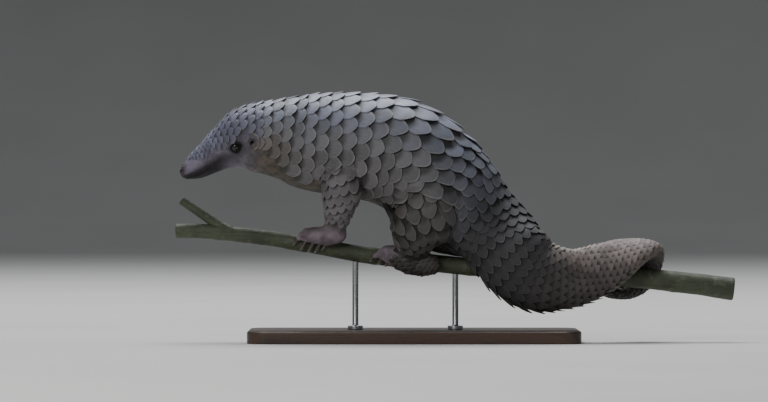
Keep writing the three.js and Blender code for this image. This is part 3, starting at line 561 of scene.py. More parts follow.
def ear_relief(p, side):
    """Lift near the ear: the opening sinks in front of the flap, with a low rim before it."""
    u, v, near = seen_from(EAR, side, p)
    cup, opening, rim = (from_middle(u, v, oval) for oval in (CUP, OPENING, FRONT_RIM))
    # A fold inside the cup, curved as the flap is
    fold = np.abs(u - 1.4 - 0.04 * v**2)
    lift = CUP_LIFT * fade(cup, 1.1, 0.6) + OPENING_LIFT * fade(opening, 1.2, 0.4)
    lift += RIM_LIFT * (ridge(fold, 1.1) * (np.abs(v) < 8) + ridge(rim, 1))
    # Painted shade in the cup and the opening
    shade = 0.55 * fade(cup, 1.05, 0.65) + fade(opening, 1.2, 0.7)
    return np.where(near & (cup < 3), lift, 0), np.where(near, shade, 0)


# %% Mouth and nostrils
# The mouth's line by stations of the trunk and angles from the back line in degrees, and the lip's distance
MOUTH = {"stations": [0.75, 1.2, 1.7, 2.3, 2.7], "angles": [168, 140, 132, 128, 127], "lip": 9}
NOSTRIL = {"t": 0.62, "angle": 52, "size": (2.3, 1.5, 1.5)}


def line_distance(p, line):
    """Distance from each point to the nearest point of a fine polyline."""
    return np.min([np.linalg.norm(p - q, axis=1) for q in line], axis=0)


def mouth_line(shift=0.0):
    """The mouth's line on both sides, shifted along the surface in degrees."""
    order = np.linspace(0, len(MOUTH["stations"]) - 1, 60)
    t = between(np.array(MOUTH["stations"])[:, None], order)[:, 0]
    phi = np.radians(between(np.array(MOUTH["angles"])[:, None], order)[:, 0] + shift)
    return np.concatenate([trunk.point(t, phi * s) for s in (1, -1)])


def nostril_relief(p):
    """Two slits that open sideways and forward, longer along the snout's slope than across it."""
    lift = np.zeros(len(p))
    for side in SIDES.values():
        centre = trunk.point(np.array([NOSTRIL["t"]]), np.radians([side * NOSTRIL["angle"]]))[0]
        away = np.linalg.norm((p - centre) / NOSTRIL["size"], axis=1)
        lift += 0.5 * ridge(away - 1.5, 0.45) - 2.0 * ridge(away, 0.75)
    return lift


# %% The face's relief
# Soft folds of the cheek and the throat: sin(x) sin(z) on a bent grid
LUMPS = {"high": 0.5, "apart": 8.5}


def throat_folds(p):
    """Low lumps from the cheek to the throat, not on the middle line underneath."""
    warped = np.stack([p[:, 0] + 2 * np.sin(p[:, 2] / 5), p[:, 2] + 2 * np.sin(p[:, 0] / 6)], -1)
    on_throat = fade(p[:, 0], -250, -220) * (np.abs(p[:, 1]) > 4)
    return LUMPS["high"] * np.prod(np.sin(2 * np.pi * warped / LUMPS["apart"]), -1) * on_throat


co = points_of(skin.data) / MM
head = np.flatnonzero(co[:, 0] < HEAD_END)
p = co[head]
slits = nostril_relief(p)
to_mouth, to_lip = line_distance(p, mouth_line()), line_distance(p, mouth_line(MOUTH["lip"]))
lift = slits - 1.1 * ridge(to_mouth, 0.9) + 0.55 * ridge(to_lip, 1.6) + throat_folds(p)
dark = np.zeros(len(co))
# Painted shade along the mouth's line and in the nostrils
dark[head] = 0.9 * ridge(to_mouth, 1.1) + 1.2 * fade(slits, 0, -1.6)
for side in SIDES.values():
    for relief in (eye_relief, ear_relief):
        extra_lift, extra_dark = relief(p, side)
        lift += extra_lift
        dark[head] += extra_dark
co[head] = p + points_of(skin.data, key="normal")[head] * lift[:, None]
skin.data.vertices.foreach_set("co", (co * MM).astype(np.float32).ravel())
skin.data.update()
print("face relief, mm:", round(lift.min(), 2), "to", round(lift.max(), 2))

# %% [markdown]
# Materials read numbers that are stored on the points, so that colour follows the body and not the view.
# The skin keeps seven, all from 0 to 1: how dark it is, by painted shade in the hollows and darker blotches
# round the eye, and how far a point belongs to the pinkish feet, the brown belly, the painted shade under the
# jaw, the pale top of the snout with its painted light, the wet nose, or the painted shade of the skin under
# the scales.

# %% Numbers for the skin's colours
# Half the angle that scales cover, station by station, measured from the back line
COVER_TABLE = [0, 0, 36, 77, 86, 90, 97, 121, 134, 142, 148, 150, 150, 150, 156, 180]


def covered_angle(t):
    """The cover table at the stations t."""
    return np.interp(t, np.arange(len(COVER_TABLE)), COVER_TABLE)


# The trunk's stations as far as the loin, behind which every place counts as covered
LEVEL = 12
# In each fade the two numbers are where a zone sets in and where it is full: places along x, heights, or
# angles from the back line
x, z = co[:, 0], co[:, 2]
row = np.interp(x, TRUNK[:LEVEL, 0], np.arange(LEVEL))
_, _, centre_z, wide, high = between(TRUNK[:, :5], row).T
below = np.degrees(np.arctan2(np.abs(co[:, 1]) / wide, (z - centre_z) / high))
uncovered = fade(below - covered_angle(row), -14, -4)
covered = np.maximum(1 - uncovered, fade(x, -70, -40)) * fade(x, -285, -273)
on_forefoot = fade(z, 158, 132) * (x < -80) * (x > -175)
on_hindfoot = fade(z, 134, 120) * fade(x, -20, -30) * (x > -80)
on_foot = on_forefoot + on_hindfoot
skin_numbers = {
    "dark": np.clip(dark, 0, 1),
    "foot": on_foot,
    "belly": fade(x, -240, -195) * uncovered * (1 - on_foot),
    # Painted shade under the jaw and the snout
    "jaw": fade(x, -236, -266) * fade(below, 88, 122),
    # A paler top of the snout, brightened more as painted light from above
    "pale": 0.8 * fade(x, -262, -292) * (1 - fade(below, 55, 100)) * (1 - fade(x, -299, -308)),
    "wet": fade(x, -303, -308),
    # Painted shade: the skin shows dark in the gaps between the scales
    "under": covered * (1 - on_foot) * (0.85 - 0.5 * fade(x, -205, -220)),
}
for name, values in skin_numbers.items():
    set_number(skin.data, name, values)
    print(f"skin, {name}: up to {values.max():.2f} on {np.mean(values > 0.5):.0%} of the points")

# %% [markdown]
# Scales come next. A pangolin's scales stand in rings round the body like tiles on a roof: each ring is
# shifted by half a scale against the one before, and each free edge lies on the next two scales. A coat
# here is a lattice of rings on a form. The rings' spacing follows the girth, so scales grow from 6 mm on
# the snout to 23 mm on the back, and shrink again along the tail.

# %% Coats: where the scales stand
# No scale stands nearer to the eye and the ear than this
EYE_CLEAR = 9.4
EAR_CLEAR = 13
# Each coat: its form, the stations it runs between, scales in a ring, spacing of rings for each part of a
# scale's width, how pointed its scales are and how far their free edge draws back, how steeply they climb,
# and how far they are arched. On the limbs, "cover" is how far round the outer face it reaches, in degrees,
# and "turn" how far the tips turn towards the tail. "places" puts rows on the tail's edges, as shares of the
# half girth, and "edges_from" is the station from which the body leaves them free. Two numbers in brackets
# hold for the coat's first and last station.
COATS = {
    "snout": {"form": "trunk", "from": 1.75, "to": 3.2, "ring": 17, "row": 0.74, "recess": 0.46,
              "climb": 0.18, "arch": 0.16},
    "head": {"form": "trunk", "from": 3.2, "to": 6.05, "ring": 20, "row": 0.74, "recess": 0.46,
             "climb": 0.19, "arch": 0.15},
    "body": {"form": "trunk", "from": 6.05, "to": 22.4, "ring": 18, "point": (1.9, 1.5),
             "recess": (0.36, 0.55), "climb": (0.17, 0.25), "arch": (0.03, 0.13), "edges_from": 15.9},
    "tail_tip": {"form": "trunk", "from": 22.4, "to": 25.9, "ring": 12, "point": 1.4, "recess": 0.5,
                 "climb": 0.24, "arch": 0.1},
    "tail_edge": {"form": "trunk", "from": 15.9, "to": 24.2, "ring": 16, "point": 1.3, "recess": 0.55,
                  "row": 0.8, "climb": 0.27, "places": [0.5, -0.48], "arch": 0.14},
    "foreleg": {"form": "foreleg", "from": 0.3, "to": 5.4, "ring": 10, "row": 0.74, "recess": 0.48,
                "cover": 128, "turn": 20, "climb": 0.22, "arch": 0.13},
    "hindleg": {"form": "hindleg", "from": 0.3, "to": 5.3, "ring": 12, "row": 0.8, "recess": 0.42,
                "cover": 128, "turn": 48, "climb": 0.2, "arch": 0.08},
    "hindfoot": {"form": "hindfoot", "from": 0.6, "to": 3.0, "ring": 11, "row": 0.74, "recess": 0.5,
                 "cover": 70, "turn": -20, "climb": 0.2, "arch": 0.13},
}
ROW = 0.84
# How far scales drift out of their columns, and half the strip left free along the tail's edges
DRIFT = 0.22
EDGE_WIDTH = 0.055


def planned(plan, key, t, otherwise):
    """A coat's value at the stations t."""
    value = plan.get(key, otherwise)
    return np.interp(t, [plan["from"], plan["to"]], value) if isinstance(value, tuple) else value + 0 * t


def lay_out(form, plan, lean):
    """One row of numbers for each scale: distance of its tip along the form, share of the half girth, width,
    and distance to the ring before.

    Each ring is one row's length behind the last. Rings lean by the angle at which the tips turn, so that
    rows stay square to them: there are 1 / cos(lean) as many scales in a ring, and rings stand 1 / cos(lean)
    as far apart. Some more rings at both ends fill the leaning corners."""
    spread = 1 / math.cos(lean)
    columns = round(plan["ring"] * spread)
    row = plan.get("row", ROW) * spread
    extra = abs(math.tan(lean)) * form.half_girths.max()
    arcs = [form.arc(plan["from"]) - extra]
    while arcs[-1] < form.arc(plan["to"]) + extra:
        arcs.append(arcs[-1] + row * 2 * form.half_girth(form.station(arcs[-1])) / plan["ring"])
    arcs = np.array(arcs[1:])
    if "places" in plan:
        ring, share = np.meshgrid(np.arange(len(arcs)), plan["places"], indexing="ij")
    else:
        ring, column = np.meshgrid(np.arange(len(arcs)), np.arange(columns), indexing="ij")
        drift = DRIFT * np.sin(0.7 * ring) * np.sin(2 * np.pi * column / columns)
        share = ((2 * (column + 0.5 * (ring % 2) + drift) / columns) + 1) % 2 - 1
    girths = form.half_girth(form.station(arcs))
    girth = girths[ring]
    arc = arcs[ring] - math.tan(lean) * share * girth
    gap = np.gradient(arcs)[ring] - math.tan(lean) * share * np.gradient(girths)[ring]
    inside = (arc > form.arc(plan["from"])) & (arc < form.arc(plan["to"]) + row * 2 * girth / plan["ring"])
    width = 2 * form.half_girth(form.station(arc)) / plan["ring"]
    return np.stack([arc, share, width, gap / spread], -1)[inside]


# %% [markdown]
# One scale is a curved plate. Its outline is a shield: straight sides that lie hidden, and a rounded free
# edge that draws back from the tip. Across, it is arched. Along, it climbs, so that its tip clears the
# scales below it. All scales of a coat are computed together: first their flat outline in millimetres,
# then the place of every point on the form, and then the nearest point of the fused skin, so that the
# plates follow the skin also where a leg melts into the body.

# %% The plate
ALONG = np.array([0, 0.3, 0.55, 0.76, 0.92, 1.0])
ACROSS = np.linspace(-1, 1, 8)
# One plate, in shares of its width: how far its root lies behind the tip, half its breadth, thickness, height
# of its root over the skin, and what COATS leaves open. Then the roll over the neighbour on the belly side,
# how much the edges sink in, and how far the tip lies off the middle
PLATE = {"root": 1.6, "half": 0.55, "thick": 0.045, "low": -0.11, "climb": 0.17, "arch": 0.045, "point": 2,
         "roll": 0.02, "soft": 0.014, "skew": 0.1}


def plate_rim():
    """Numbers of the grid's border points, once round it, with its outside to the right."""
    rows, columns = len(ALONG), len(ACROSS)
    grid = np.arange(rows * columns).reshape(rows, columns)
    return np.concatenate([grid[0, :], grid[1:, -1], grid[-1, -2::-1], grid[-2:0:-1, 0]])


def plate_faces():
    """Top quads, a wall round the rim, and one face underneath."""
    rows, columns = len(ALONG), len(ACROSS)
    r, c = np.meshgrid(np.arange(rows - 1), np.arange(columns - 1), indexing="ij")
    a = (r * columns + c).ravel()
    top = np.stack([a, a + 1, a + columns + 1, a + columns], -1).tolist()
    rim = plate_rim()
    low = rows * columns + np.arange(len(rim))
    wall = np.stack([rim, low, np.roll(low, -1), np.roll(rim, -1)], -1).tolist()
    return top, wall, [low[::-1].tolist()]


def plate_places():
    """How far along and across the plate each of its points lies, the rim's lower points last."""
    s, v = (a.ravel() for a in np.meshgrid(ALONG, ACROSS, indexing="ij"))
    rim = plate_rim()
    return np.concatenate([s, s[rim]]), np.concatenate([v, v[rim]])


def flat_plates(t, width, longer, belly, plan, lean):
    """Distances from the tip along and round the form, in millimetres, for every plate.

    The free edge draws back by recess |v + skew|^point, so that its tip lies a little above the middle,
    and the whole plate is turned about its tip by the angle lean."""
    s, v = np.meshgrid(ALONG, ACROSS, indexing="ij")
    low_side = v * belly[:, None, None]
    recess, point = (planned(plan, key, t, PLATE["point"])[:, None, None] for key in ("recess", "point"))
    edge = -recess * np.abs(low_side + PLATE["skew"]) ** point
    root = -PLATE["root"]
    along = (root + (edge - root) * s) * longer[:, None, None]
    across = PLATE["half"] * (0.8 + 0.2 * fade(s, 0, 0.45)) * v
    turned_along = along * math.cos(lean) - across * math.sin(lean)
    turned_across = along * math.sin(lean) + across * math.cos(lean)
    wide = width[:, None, None]
    return wide * turned_along, wide * turned_across, s, v, low_side


def plate_heights(t, s, v, low_side, width, lift, plan):
    """Height of the top over the skin: climb from root to tip, arch across, soft edges, and a roll that
    lays the side towards the belly over its neighbour."""
    climb, arch = (planned(plan, key, t, PLATE[key])[:, None, None] for key in ("climb", "arch"))
    top = PLATE["low"] + PLATE["thick"] + climb * s + arch * (1 - np.abs(v) ** 1.6) * s**1.5
    top = top - PLATE["soft"] * ((s == 1) + (np.abs(v) == 1) * (s > 0.3))
    return width[:, None, None] * (top + lift[:, None, None] * s + PLATE["roll"] * low_side * s)


# %% Laying plates on the skin
def on_skin(points):
    """The nearest points of the skin and its smooth normals there, from two shrink-wraps."""
    probe = make_piece("probe", points, [])
    wrap = probe.modifiers.new("wrap", "SHRINKWRAP")
    wrap.target = skin
    wrap.wrap_method = "NEAREST_SURFACEPOINT"

    def wrapped(mode, offset):
        wrap.wrap_mode, wrap.offset = mode, offset * MM
        graph = bpy.context.evaluated_depsgraph_get()
        return points_of(probe.evaluated_get(graph).data) / MM

    surface = wrapped("ON_SURFACE", 0)
    normal = unit(wrapped("ABOVE_SURFACE", 2) - surface)
    bpy.data.objects.remove(probe)
    return surface.reshape(points.shape), normal.reshape(points.shape)


# %% [markdown]
# Where two forms meet, a coat ends near the line that is equally far from both, and its last scales tuck
# under the neighbour's. A plate is also left out where the skin bends so sharply under it that it would
# be stretched, squeezed or folded.

# %% Where a coat ends
FORMS = [trunk, *limbs.values()]
FORM_POINTS = {id(form): form.grid(12 * len(form.rows), 56).reshape(-1, 3) for form in FORMS}
# How far past that line a scale may stand, in millimetres
BORDER = {"trunk": 7, "foreleg": -4, "hindleg": -3, "hindfoot": 1}
# Near a border the body's scales lie a little higher and the limb's a little lower, in shares of the width
TUCK = {"trunk": 0.03, "foreleg": -0.1, "hindleg": -0.1, "hindfoot": 0}
TUCK_REACH = 12
# The least and the most that the skin may stretch a plate, and how alike its normals have to be
STRETCH = (0.66, 1.35)
FACING = 0.64


def nearest(points, targets):
    """Distance from each point to the nearest of the targets."""
    chunks = np.array_split(points, max(1, len(points) // 200))
    return np.concatenate([np.linalg.norm(c[:, None] - targets[None], axis=-1).min(1) for c in chunks])


def beyond_border(points, form):
    """How much nearer the points of the skin lie to another form than to this one, in millimetres."""
    own = nearest(points, FORM_POINTS[id(form)])
    others = [nearest(points, FORM_POINTS[id(other)]) for other in FORMS if other is not form]
    return own - np.min(others, 0)


def spans(p):
    """Length and width of each plate, from the middles of its sides."""
    return np.stack([np.linalg.norm(p[:, -1, 4] - p[:, 2, 4], axis=-1),
                     np.linalg.norm(p[:, 3, 0] - p[:, 3, -1], axis=-1)], -1)


def lies_well(base, surface, normal):
    """Which plates keep their size and their shape when they are laid from the form on the skin."""
    stretch = spans(surface) / np.maximum(spans(base), 1e-6)
    facing = np.sum(normal * unit(normal[:, 2:].mean((1, 2)))[:, None, None], -1)
    even = (stretch.min(1) > STRETCH[0]) & (stretch.max(1) < STRETCH[1])
    return even & (facing[:, 2:].min((1, 2)) > FACING)


# %% The scales of one coat
# The least and the most of a scale's length, against that of one in the plain row spacing
LENGTHS = (0.8, 1.8)
# How far scales differ from each other along and across (in widths), in length and in lift
WOBBLE = {"along": 0.05, "across": 0.02, "length": 0.04, "lift": 0.008}


def chosen_scales(form, plan, lean):
    """Station, share, width and row length of a coat's scales, without those that would stand on bare skin,
    on the eye and the ear, or on the tail's edges."""
    arc, share, width, gap = lay_out(form, plan, lean).T
    t = form.station(arc)
    phi = form.angle(t, share)
    cover = plan.get("cover") or covered_angle(t)
    keep = (np.abs(np.degrees(phi)) < cover) & (t > 0.2) & (t < form.ts[-1] - 0.05)
    if form is trunk:
        tips = trunk.point(t, phi)
        keep &= ~near_place(tips, EYE, EYE_CLEAR) & ~near_place(tips, EAR, EAR_CLEAR)
    if "edges_from" in plan:
        keep &= (np.abs(np.abs(share) - 0.5) > EDGE_WIDTH) | (t < plan["edges_from"])
    return t[keep], share[keep], width[keep], gap[keep]


def tip_frames(form, t, share):
    """For each scale: its tip on the form, the direction that its place moves in along the form, the
    direction across, square to it on the surface and towards larger shares, and how much longer the way
    along the surface is than along the middle line."""
    step = 0.03
    ends = [form.point(t + d, form.angle(t + d, share)) for d in (-step, step)]
    sides = [form.point(t, form.angle(t, share + d)) for d in (-step, step)]
    ahead = unit(ends[1] - ends[0])
    longer = np.linalg.norm(ends[1] - ends[0], axis=-1) / (form.arc(t + step) - form.arc(t - step))
    across = sides[1] - sides[0]
    across = unit(across - np.sum(across * ahead, -1, keepdims=True) * ahead)
    return form.point(t, form.angle(t, share)), ahead, across, longer


# %% [markdown]
# Every scale keeps numbers for its material: how far each point lies from root to tip, a tone of its own,
# and its place on the body as a station and a share. Two more colour it: behind the ear and under the neck
# scales turn brown, and on the underside of rump and tail painted shade makes them dark.

# %% One coat
# The brown cheek: its middle and its half length and height
CHEEK = {"x": -188, "z": 246, "long": 30, "high": 24}
# Where the shade sets in and where it is full: stations, how far a scale faces up, and its height
SHADE = {"stations": (15.5, 17.5), "faces": (0.4, -0.4), "heights": (112, 88)}


def coat_colours(form, t, near_tip, facing_up):
    """The warm and the shaded number of each scale. Only the trunk's scales have them."""
    x, _, z = near_tip.T
    around = np.hypot((x - CHEEK["x"]) / CHEEK["long"], (z - CHEEK["z"]) / CHEEK["high"])
    under = np.maximum(fade(facing_up, *SHADE["faces"]), fade(z, *SHADE["heights"]))
    return {"warm": (form is trunk) * fade(around, 1.3, 0.6) * (t < 12),
            "shaded": (form is trunk) * fade(t, *SHADE["stations"]) * under}


def closed_plates(surface, normal, height, width):
    """The points of each plate: its top over the skin, then its rim again, nine tenths of a plate's
    thickness lower, so that the edge is a little thinner."""
    count, rim = len(width), plate_rim()
    top = (surface + normal * height[..., None]).reshape(count, -1, 3)
    rim_surface, rim_normal = (a.reshape(count, -1, 3)[:, rim] for a in (surface, normal))
    rim_height = height.reshape(count, -1)[:, rim] - PLATE["thick"] * width[:, None] * 0.9
    return np.concatenate([top, rim_surface + rim_normal * rim_height[..., None]], 1)


def coat_plates(form, plan, side):
    """Lays the plates of one coat: their points, and the numbers that each of them keeps."""
    lean = math.radians(plan.get("turn", 0)) * side
    t, share, width, gap = chosen_scales(form, plan, lean)
    wobble = dict(zip([*WOBBLE, "tone"], draws.uniform(-1, 1, (len(WOBBLE) + 1, len(t)))))
    t = form.station(form.arc(t) + WOBBLE["along"] * width * wobble["along"])
    share = share + WOBBLE["across"] * wobble["across"] * width / form.half_girth(t)
    tip, ahead, beside, stretch = tip_frames(form, t, share)
    longer = np.clip(gap * stretch / (ROW * width), *LENGTHS) * (1 + WOBBLE["length"] * wobble["length"])
    along, across, s, v, low_side = flat_plates(t, width, longer, np.sign(share), plan, lean)
    ahead, beside = ahead[:, None, None], beside[:, None, None]
    base = tip[:, None, None] + along[..., None] * ahead + across[..., None] * beside
    surface, normal = on_skin(base)
    # Row 4, column 4 is the point just inside a plate's tip
    near_tip, facing_up = surface[:, 4, 4], normal[:, 4, 4, 2]
    beyond = beyond_border(near_tip, form)
    shown = lies_well(base, surface, normal) & (beyond < BORDER[plan["form"]])
    height = plate_heights(t, s, v, low_side, width, WOBBLE["lift"] * wobble["lift"], plan)
    tuck = TUCK[plan["form"]] * fade(beyond, -TUCK_REACH, 0)
    height = height + (tuck * width)[:, None, None]
    each = {"tone": wobble["tone"], "share": share, "station": t, "width": width,
            **coat_colours(form, t, near_tip, facing_up)}
    return closed_plates(surface, normal, height, width)[shown], {key: a[shown] for key, a in each.items()}


def coat_piece(name, points, each, form_length):
    """Makes the mesh of a coat, with its point numbers and its two UV maps.

    In OFBake every plate is a small patch at its own station and share. In Grain it has its real size, so
    that lines can run from its root to its tip."""
    count, size = points.shape[:2]
    top, wall, under = plate_faces()
    first = np.arange(count) * size
    faces = np.array(top + wall)[None] + first[:, None, None]
    below = np.array(under)[None] + first[:, None, None]
    piece = make_piece(name, points, faces.reshape(-1, 4).tolist() + below.reshape(count, -1).tolist())
    mesh = piece.data
    s, v = plate_places()
    set_number(mesh, "grow", np.tile(s, count))
    for key in ("tone", "share", "station", "warm", "shaded"):
        set_number(mesh, key, np.repeat(each[key], size))
    corners = np.empty(len(mesh.loops), np.int32)
    mesh.loops.foreach_get("vertex_index", corners)
    patch = 0.003 * np.stack([v / 2, s - 0.5], -1)
    root = np.stack([0.01 + 0.98 * each["station"] / form_length, 0.5 + 0.48 * each["share"]], -1)
    grain = np.stack([v[None] * each["width"][:, None] / 2, s[None] * each["width"][:, None]], -1)
    for layer, values in {"OFBake": root[:, None] + patch[None], "Grain": grain}.items():
        uv = mesh.uv_layers.new(name=layer)
        uv.data.foreach_set("uv", values.reshape(-1, 2)[corners].astype(np.float32).ravel())
    mesh.set_sharp_from_angle(angle=math.radians(38))
    return piece


# %% All coats
coats = {}
for name, plan in COATS.items():
    for word, side in (SIDES if plan["form"] in LIMBS else {"": 0}).items():
        form = limbs[f"{plan['form']}_{word}"] if word else trunk
        label = f"scales_{name}_{word}" if word else f"scales_{name}"
        plates, each = coat_plates(form, plan, side)
        coats[label] = coat_piece(label, plates, each, form.ts[-1])
        wide = each["width"]
        print(f"{label}: {len(plates)} scales, {wide.min():.0f} to {wide.max():.0f} mm wide")

# %% [markdown]
# The eyes are small, dark and glossy. Each is a flattened ball of its own, set into its socket so that the
# lids close over its rim.

# %% Eyes
def ball(centre, axes, radii):
    """A sphere on three axes: cos(v) along the third and sin(v) round it."""
    v, u = np.meshgrid(np.linspace(0.02, np.pi - 0.02, 24), full_turn(32), indexing="ij")
    local = np.stack([np.sin(v) * np.cos(u), np.sin(v) * np.sin(u), np.cos(v)], -1) * radii
    return centre + local @ np.array(axes)


eyes = {}
for word, side in SIDES.items():
    point, normal, back, _ = face_frame(EYE, side)
    axes = [back, np.cross(normal, back), normal]
    points = ball(point - normal * EYE["sunk"], axes, np.array([EYE["radius"], EYE["radius"], EYE["deep"]]))
    eyes[word] = tube_piece(f"eye_ball_{word}", points)
    front = np.clip((points.reshape(-1, 3) - point) @ normal + EYE["sunk"], 0, None) / EYE["deep"]
    set_number(eyes[word].data, "front", front)

# %% [markdown]
# The ear is a low, thick crescent of pale skin behind its opening. It is a profile carried along an arc,
# thinner at both ends, and it leans out so that it forms a cup.

# %% Ears
def ear_flap(side):
    """Ellipse rings along an arc round the opening, fullest in the middle of the arc, slightly rippled along
    it and curled outwards at the edge."""
    point, normal, back, up = face_frame(EAR, side)
    share = np.linspace(0, 1, 40)
    angle = np.radians(EAR["from"] + (EAR["to"] - EAR["from"]) * share)[:, None]
    full = np.sqrt(np.maximum(np.sin(np.pi * share), 0.03))[:, None]
    out = back * np.cos(angle) + up * np.sin(angle)
    ripple = 1 + 0.04 * np.sin(5 * angle)
    centre = point + (back * np.cos(angle) * EAR["long"] + up * np.sin(angle) * EAR["high"]) * ripple
    centre = centre + normal * EAR["lift"]
    lean = unit(normal + out * EAR["lean"])
    turn = full_turn(18)[None, :, None]
    curl = 0.7 * np.cos(turn)
    wide, high = (out * full * EAR["thick"])[:, None], (lean * full * EAR["flap"])[:, None]
    return centre[:, None] + wide * (np.sin(turn) + curl) + high * np.cos(turn)


ears = {word: tube_piece(f"ear_flap_{word}", ear_flap(side)) for word, side in SIDES.items()}
print("ear flaps:", len(ears))

# %% [markdown]
# Claws are horn, curved round the bark, oval in section and pointed. They follow the same way as the
# digits that carry them.

# %% Claws
CLAW_FLAT = 0.82


def claw_points(plan, index, side):
    """Rings from inside the finger to the tip: the thickness falls as sqrt(1 - u^2.2) and a little more."""
    begin = claw_share(plan, index)
    u = np.linspace(0, 1, 18)
    thick = plan["thick"] * 0.95 * np.sqrt(np.maximum(1 - u**2.2, 0.004)) * (1 - 0.3 * u)
    centre, out, across = digit_line(plan, index, side, begin - 0.05 + (1.05 - begin) * u, thick)
    return rings_round(centre, across * thick[:, None] * CLAW_FLAT, out * thick[:, None]), u


claws = {}
for foot, plan in DIGITS.items():
    for word, side in SIDES.items():
        for index in range(len(plan["xs"])):
            name = f"{foot.replace('foot', 'claw')}_{word}_{index + 1}"
            points, u = claw_points(plan, index, side)
            claws[name] = tube_piece(f"horn_{name}", points)
            set_number(claws[name].data, "tip", np.repeat(u, points.shape[1]))
print("claws:", len(claws))

# %% [markdown]
# The branch is smooth and green-grey, as thin as a thumb. A tube along the centre line takes its radius
# from the table. Low swellings mark old leaf nodes, and gentle noise keeps it from looking turned.

# %% Branch and side shoot
OCTAVES = 4


def waves(x, seed):
    """Smooth repeatable noise: a sum of sines, each finer and weaker than the last."""
    k = np.arange(1, OCTAVES + 1)
    pick = np.random.default_rng(seed)
    phase, pace = pick.uniform(0, 2 * np.pi, OCTAVES), pick.uniform(0.8, 1.3, OCTAVES)
    return (np.sin(x[..., None] * pace * 2**k + phase) / 2**k).sum(-1)


# Places of the old leaf nodes along x
NODES = [-262, -150, -60, 64, 168, 330]
STEM_SIDES = 64
# The bark, in millimetres: how far it lies inside the solid, height and width of a leaf node, broad and fine
# roughness, and how far in and how far along the cut ends are rounded
BARK = {"inset": 0.45, "node": 0.55, "node_width": 5, "broad": 0.16, "fine": 0.07, "cut": 1.2,
        "cut_length": 1.6}


def stem(centre, radius, across):
    """Rings of a stem on a line, in the plane of y and the across direction."""
    turn = full_turn(STEM_SIDES)
    y = np.array([0.0, 1.0, 0.0])
    ring = np.sin(turn)[None, :, None] * y + np.cos(turn)[None, :, None] * across[:, None]
    return centre[:, None] + radius[..., None] * ring


def branch_points():
    """Radius of the table, plus noise and a low bump at each old node."""
    x = np.linspace(*BRANCH_ENDS, 520)
    centre, r = branch_at(x)
    slope = np.gradient(centre[:, 2], x)
    across = unit(np.stack([-slope, 0 * x, 1 + 0 * x], -1))
    turn = full_turn(STEM_SIDES)
    bump = sum(BARK["node"] * ridge(x - node_x, BARK["node_width"]) for node_x in NODES)
    rough = BARK["broad"] * waves(x[:, None] / 40 + np.cos(turn) * 0.8, 3)
    rough = rough + BARK["fine"] * waves(turn * 3 + x[:, None] / 9, 4)
    trim = BARK["cut"] * (1 - fade(np.minimum(x - x[0], x[-1] - x), 0, BARK["cut_length"]))
    return stem(centre, (r + bump - BARK["inset"] - trim)[:, None] + rough, across)


SHOOT = {"x": -246, "rise": 34, "length": 78, "radius": 6.6, "tip": 5.6, "flare": 3.5, "rough": 0.14,
         "cut": 0.8}


def shoot_points():
    """The shoot flares where it leaves the branch and ends in a clean cut."""
    share = np.concatenate([np.linspace(0, 0.985, 90), [1.0]])
    rise = math.radians(SHOOT["rise"])
    along = np.array([-math.cos(rise), 0, math.sin(rise)])
    radius = SHOOT["radius"] + (SHOOT["tip"] - SHOOT["radius"]) * share
    radius = radius + SHOOT["flare"] * (1 - fade(share, 0, 0.3)) - SHOOT["cut"] * (share == 1)
    rough = SHOOT["rough"] * waves(share[:, None] * 3 + np.cos(full_turn(STEM_SIDES)), 8)
    across = np.tile([math.sin(rise), 0, math.cos(rise)], (len(share), 1))
    centre = branch_at(SHOOT["x"])[0] + along * (SHOOT["length"] * share)[:, None]
    return stem(centre, radius[:, None] + rough, across)


stems = {name: tube_piece(name, points, sharp=40)
         for name, points in {"bark_branch": branch_points(), "bark_shoot": shoot_points()}.items()}
print("stems:", {name: len(piece.data.vertices) for name, piece in stems.items()})

# %% [markdown]
# The stand is a flat wooden base with rounded corners and two steel rods with collars. Both have soft
# edges that catch the light.

# %% Base and rods
BASE = {"x": -8, "length": 430, "width": 190, "height": 16, "corner": 26, "bevel": 2.5}
ROD = {"radius": 4, "collar": 10, "collar_height": 5, "shoulder": 1.4}
ROD_PLACES = [-84, 46]


def base_points():
    """A rounded rectangle, drawn in along a quarter circle at its upper edge and a little below."""
    steps = 16
    corner = np.radians(np.arange(steps + 1) * 90 / steps)
    turn = np.concatenate([corner + q * np.pi / 2 for q in range(4)])
    middle = np.repeat(np.arange(4) * 90 + 45, steps + 1)
    half = np.array([BASE["length"] / 2, BASE["width"] / 2]) - BASE["corner"]
    centre = np.stack([np.sign(np.cos(np.radians(middle))), np.sign(np.sin(np.radians(middle)))], -1) * half
    out = np.stack([np.cos(turn), np.sin(turn)], -1)
    arc = np.radians(np.linspace(0, 90, 9))
    bevel, height = BASE["bevel"], BASE["height"]
    inset = np.concatenate([[0.8, 0], bevel * (1 - np.cos(arc))])
    level = np.concatenate([[0, 0.8], height - bevel + bevel * np.sin(arc)])
    flat = centre[None] + out[None] * (BASE["corner"] - inset)[:, None, None]
    z = np.broadcast_to(level[:, None, None], flat.shape[:2] + (1,))
    return np.concatenate([flat, z], -1) + [BASE["x"], 0, 0]


def turned(profile, x, sides):
    """A profile of radius and height, turned round an upright axis."""
    turn = full_turn(sides)
    radius, z = np.array(profile).T
    ring = np.stack([np.cos(turn), np.sin(turn), 0 * turn], -1)
    up = np.array([0, 0, 1.0])
    return ring[None] * radius[:, None, None] + up * z[:, None, None] + np.array([x, 0, 0])


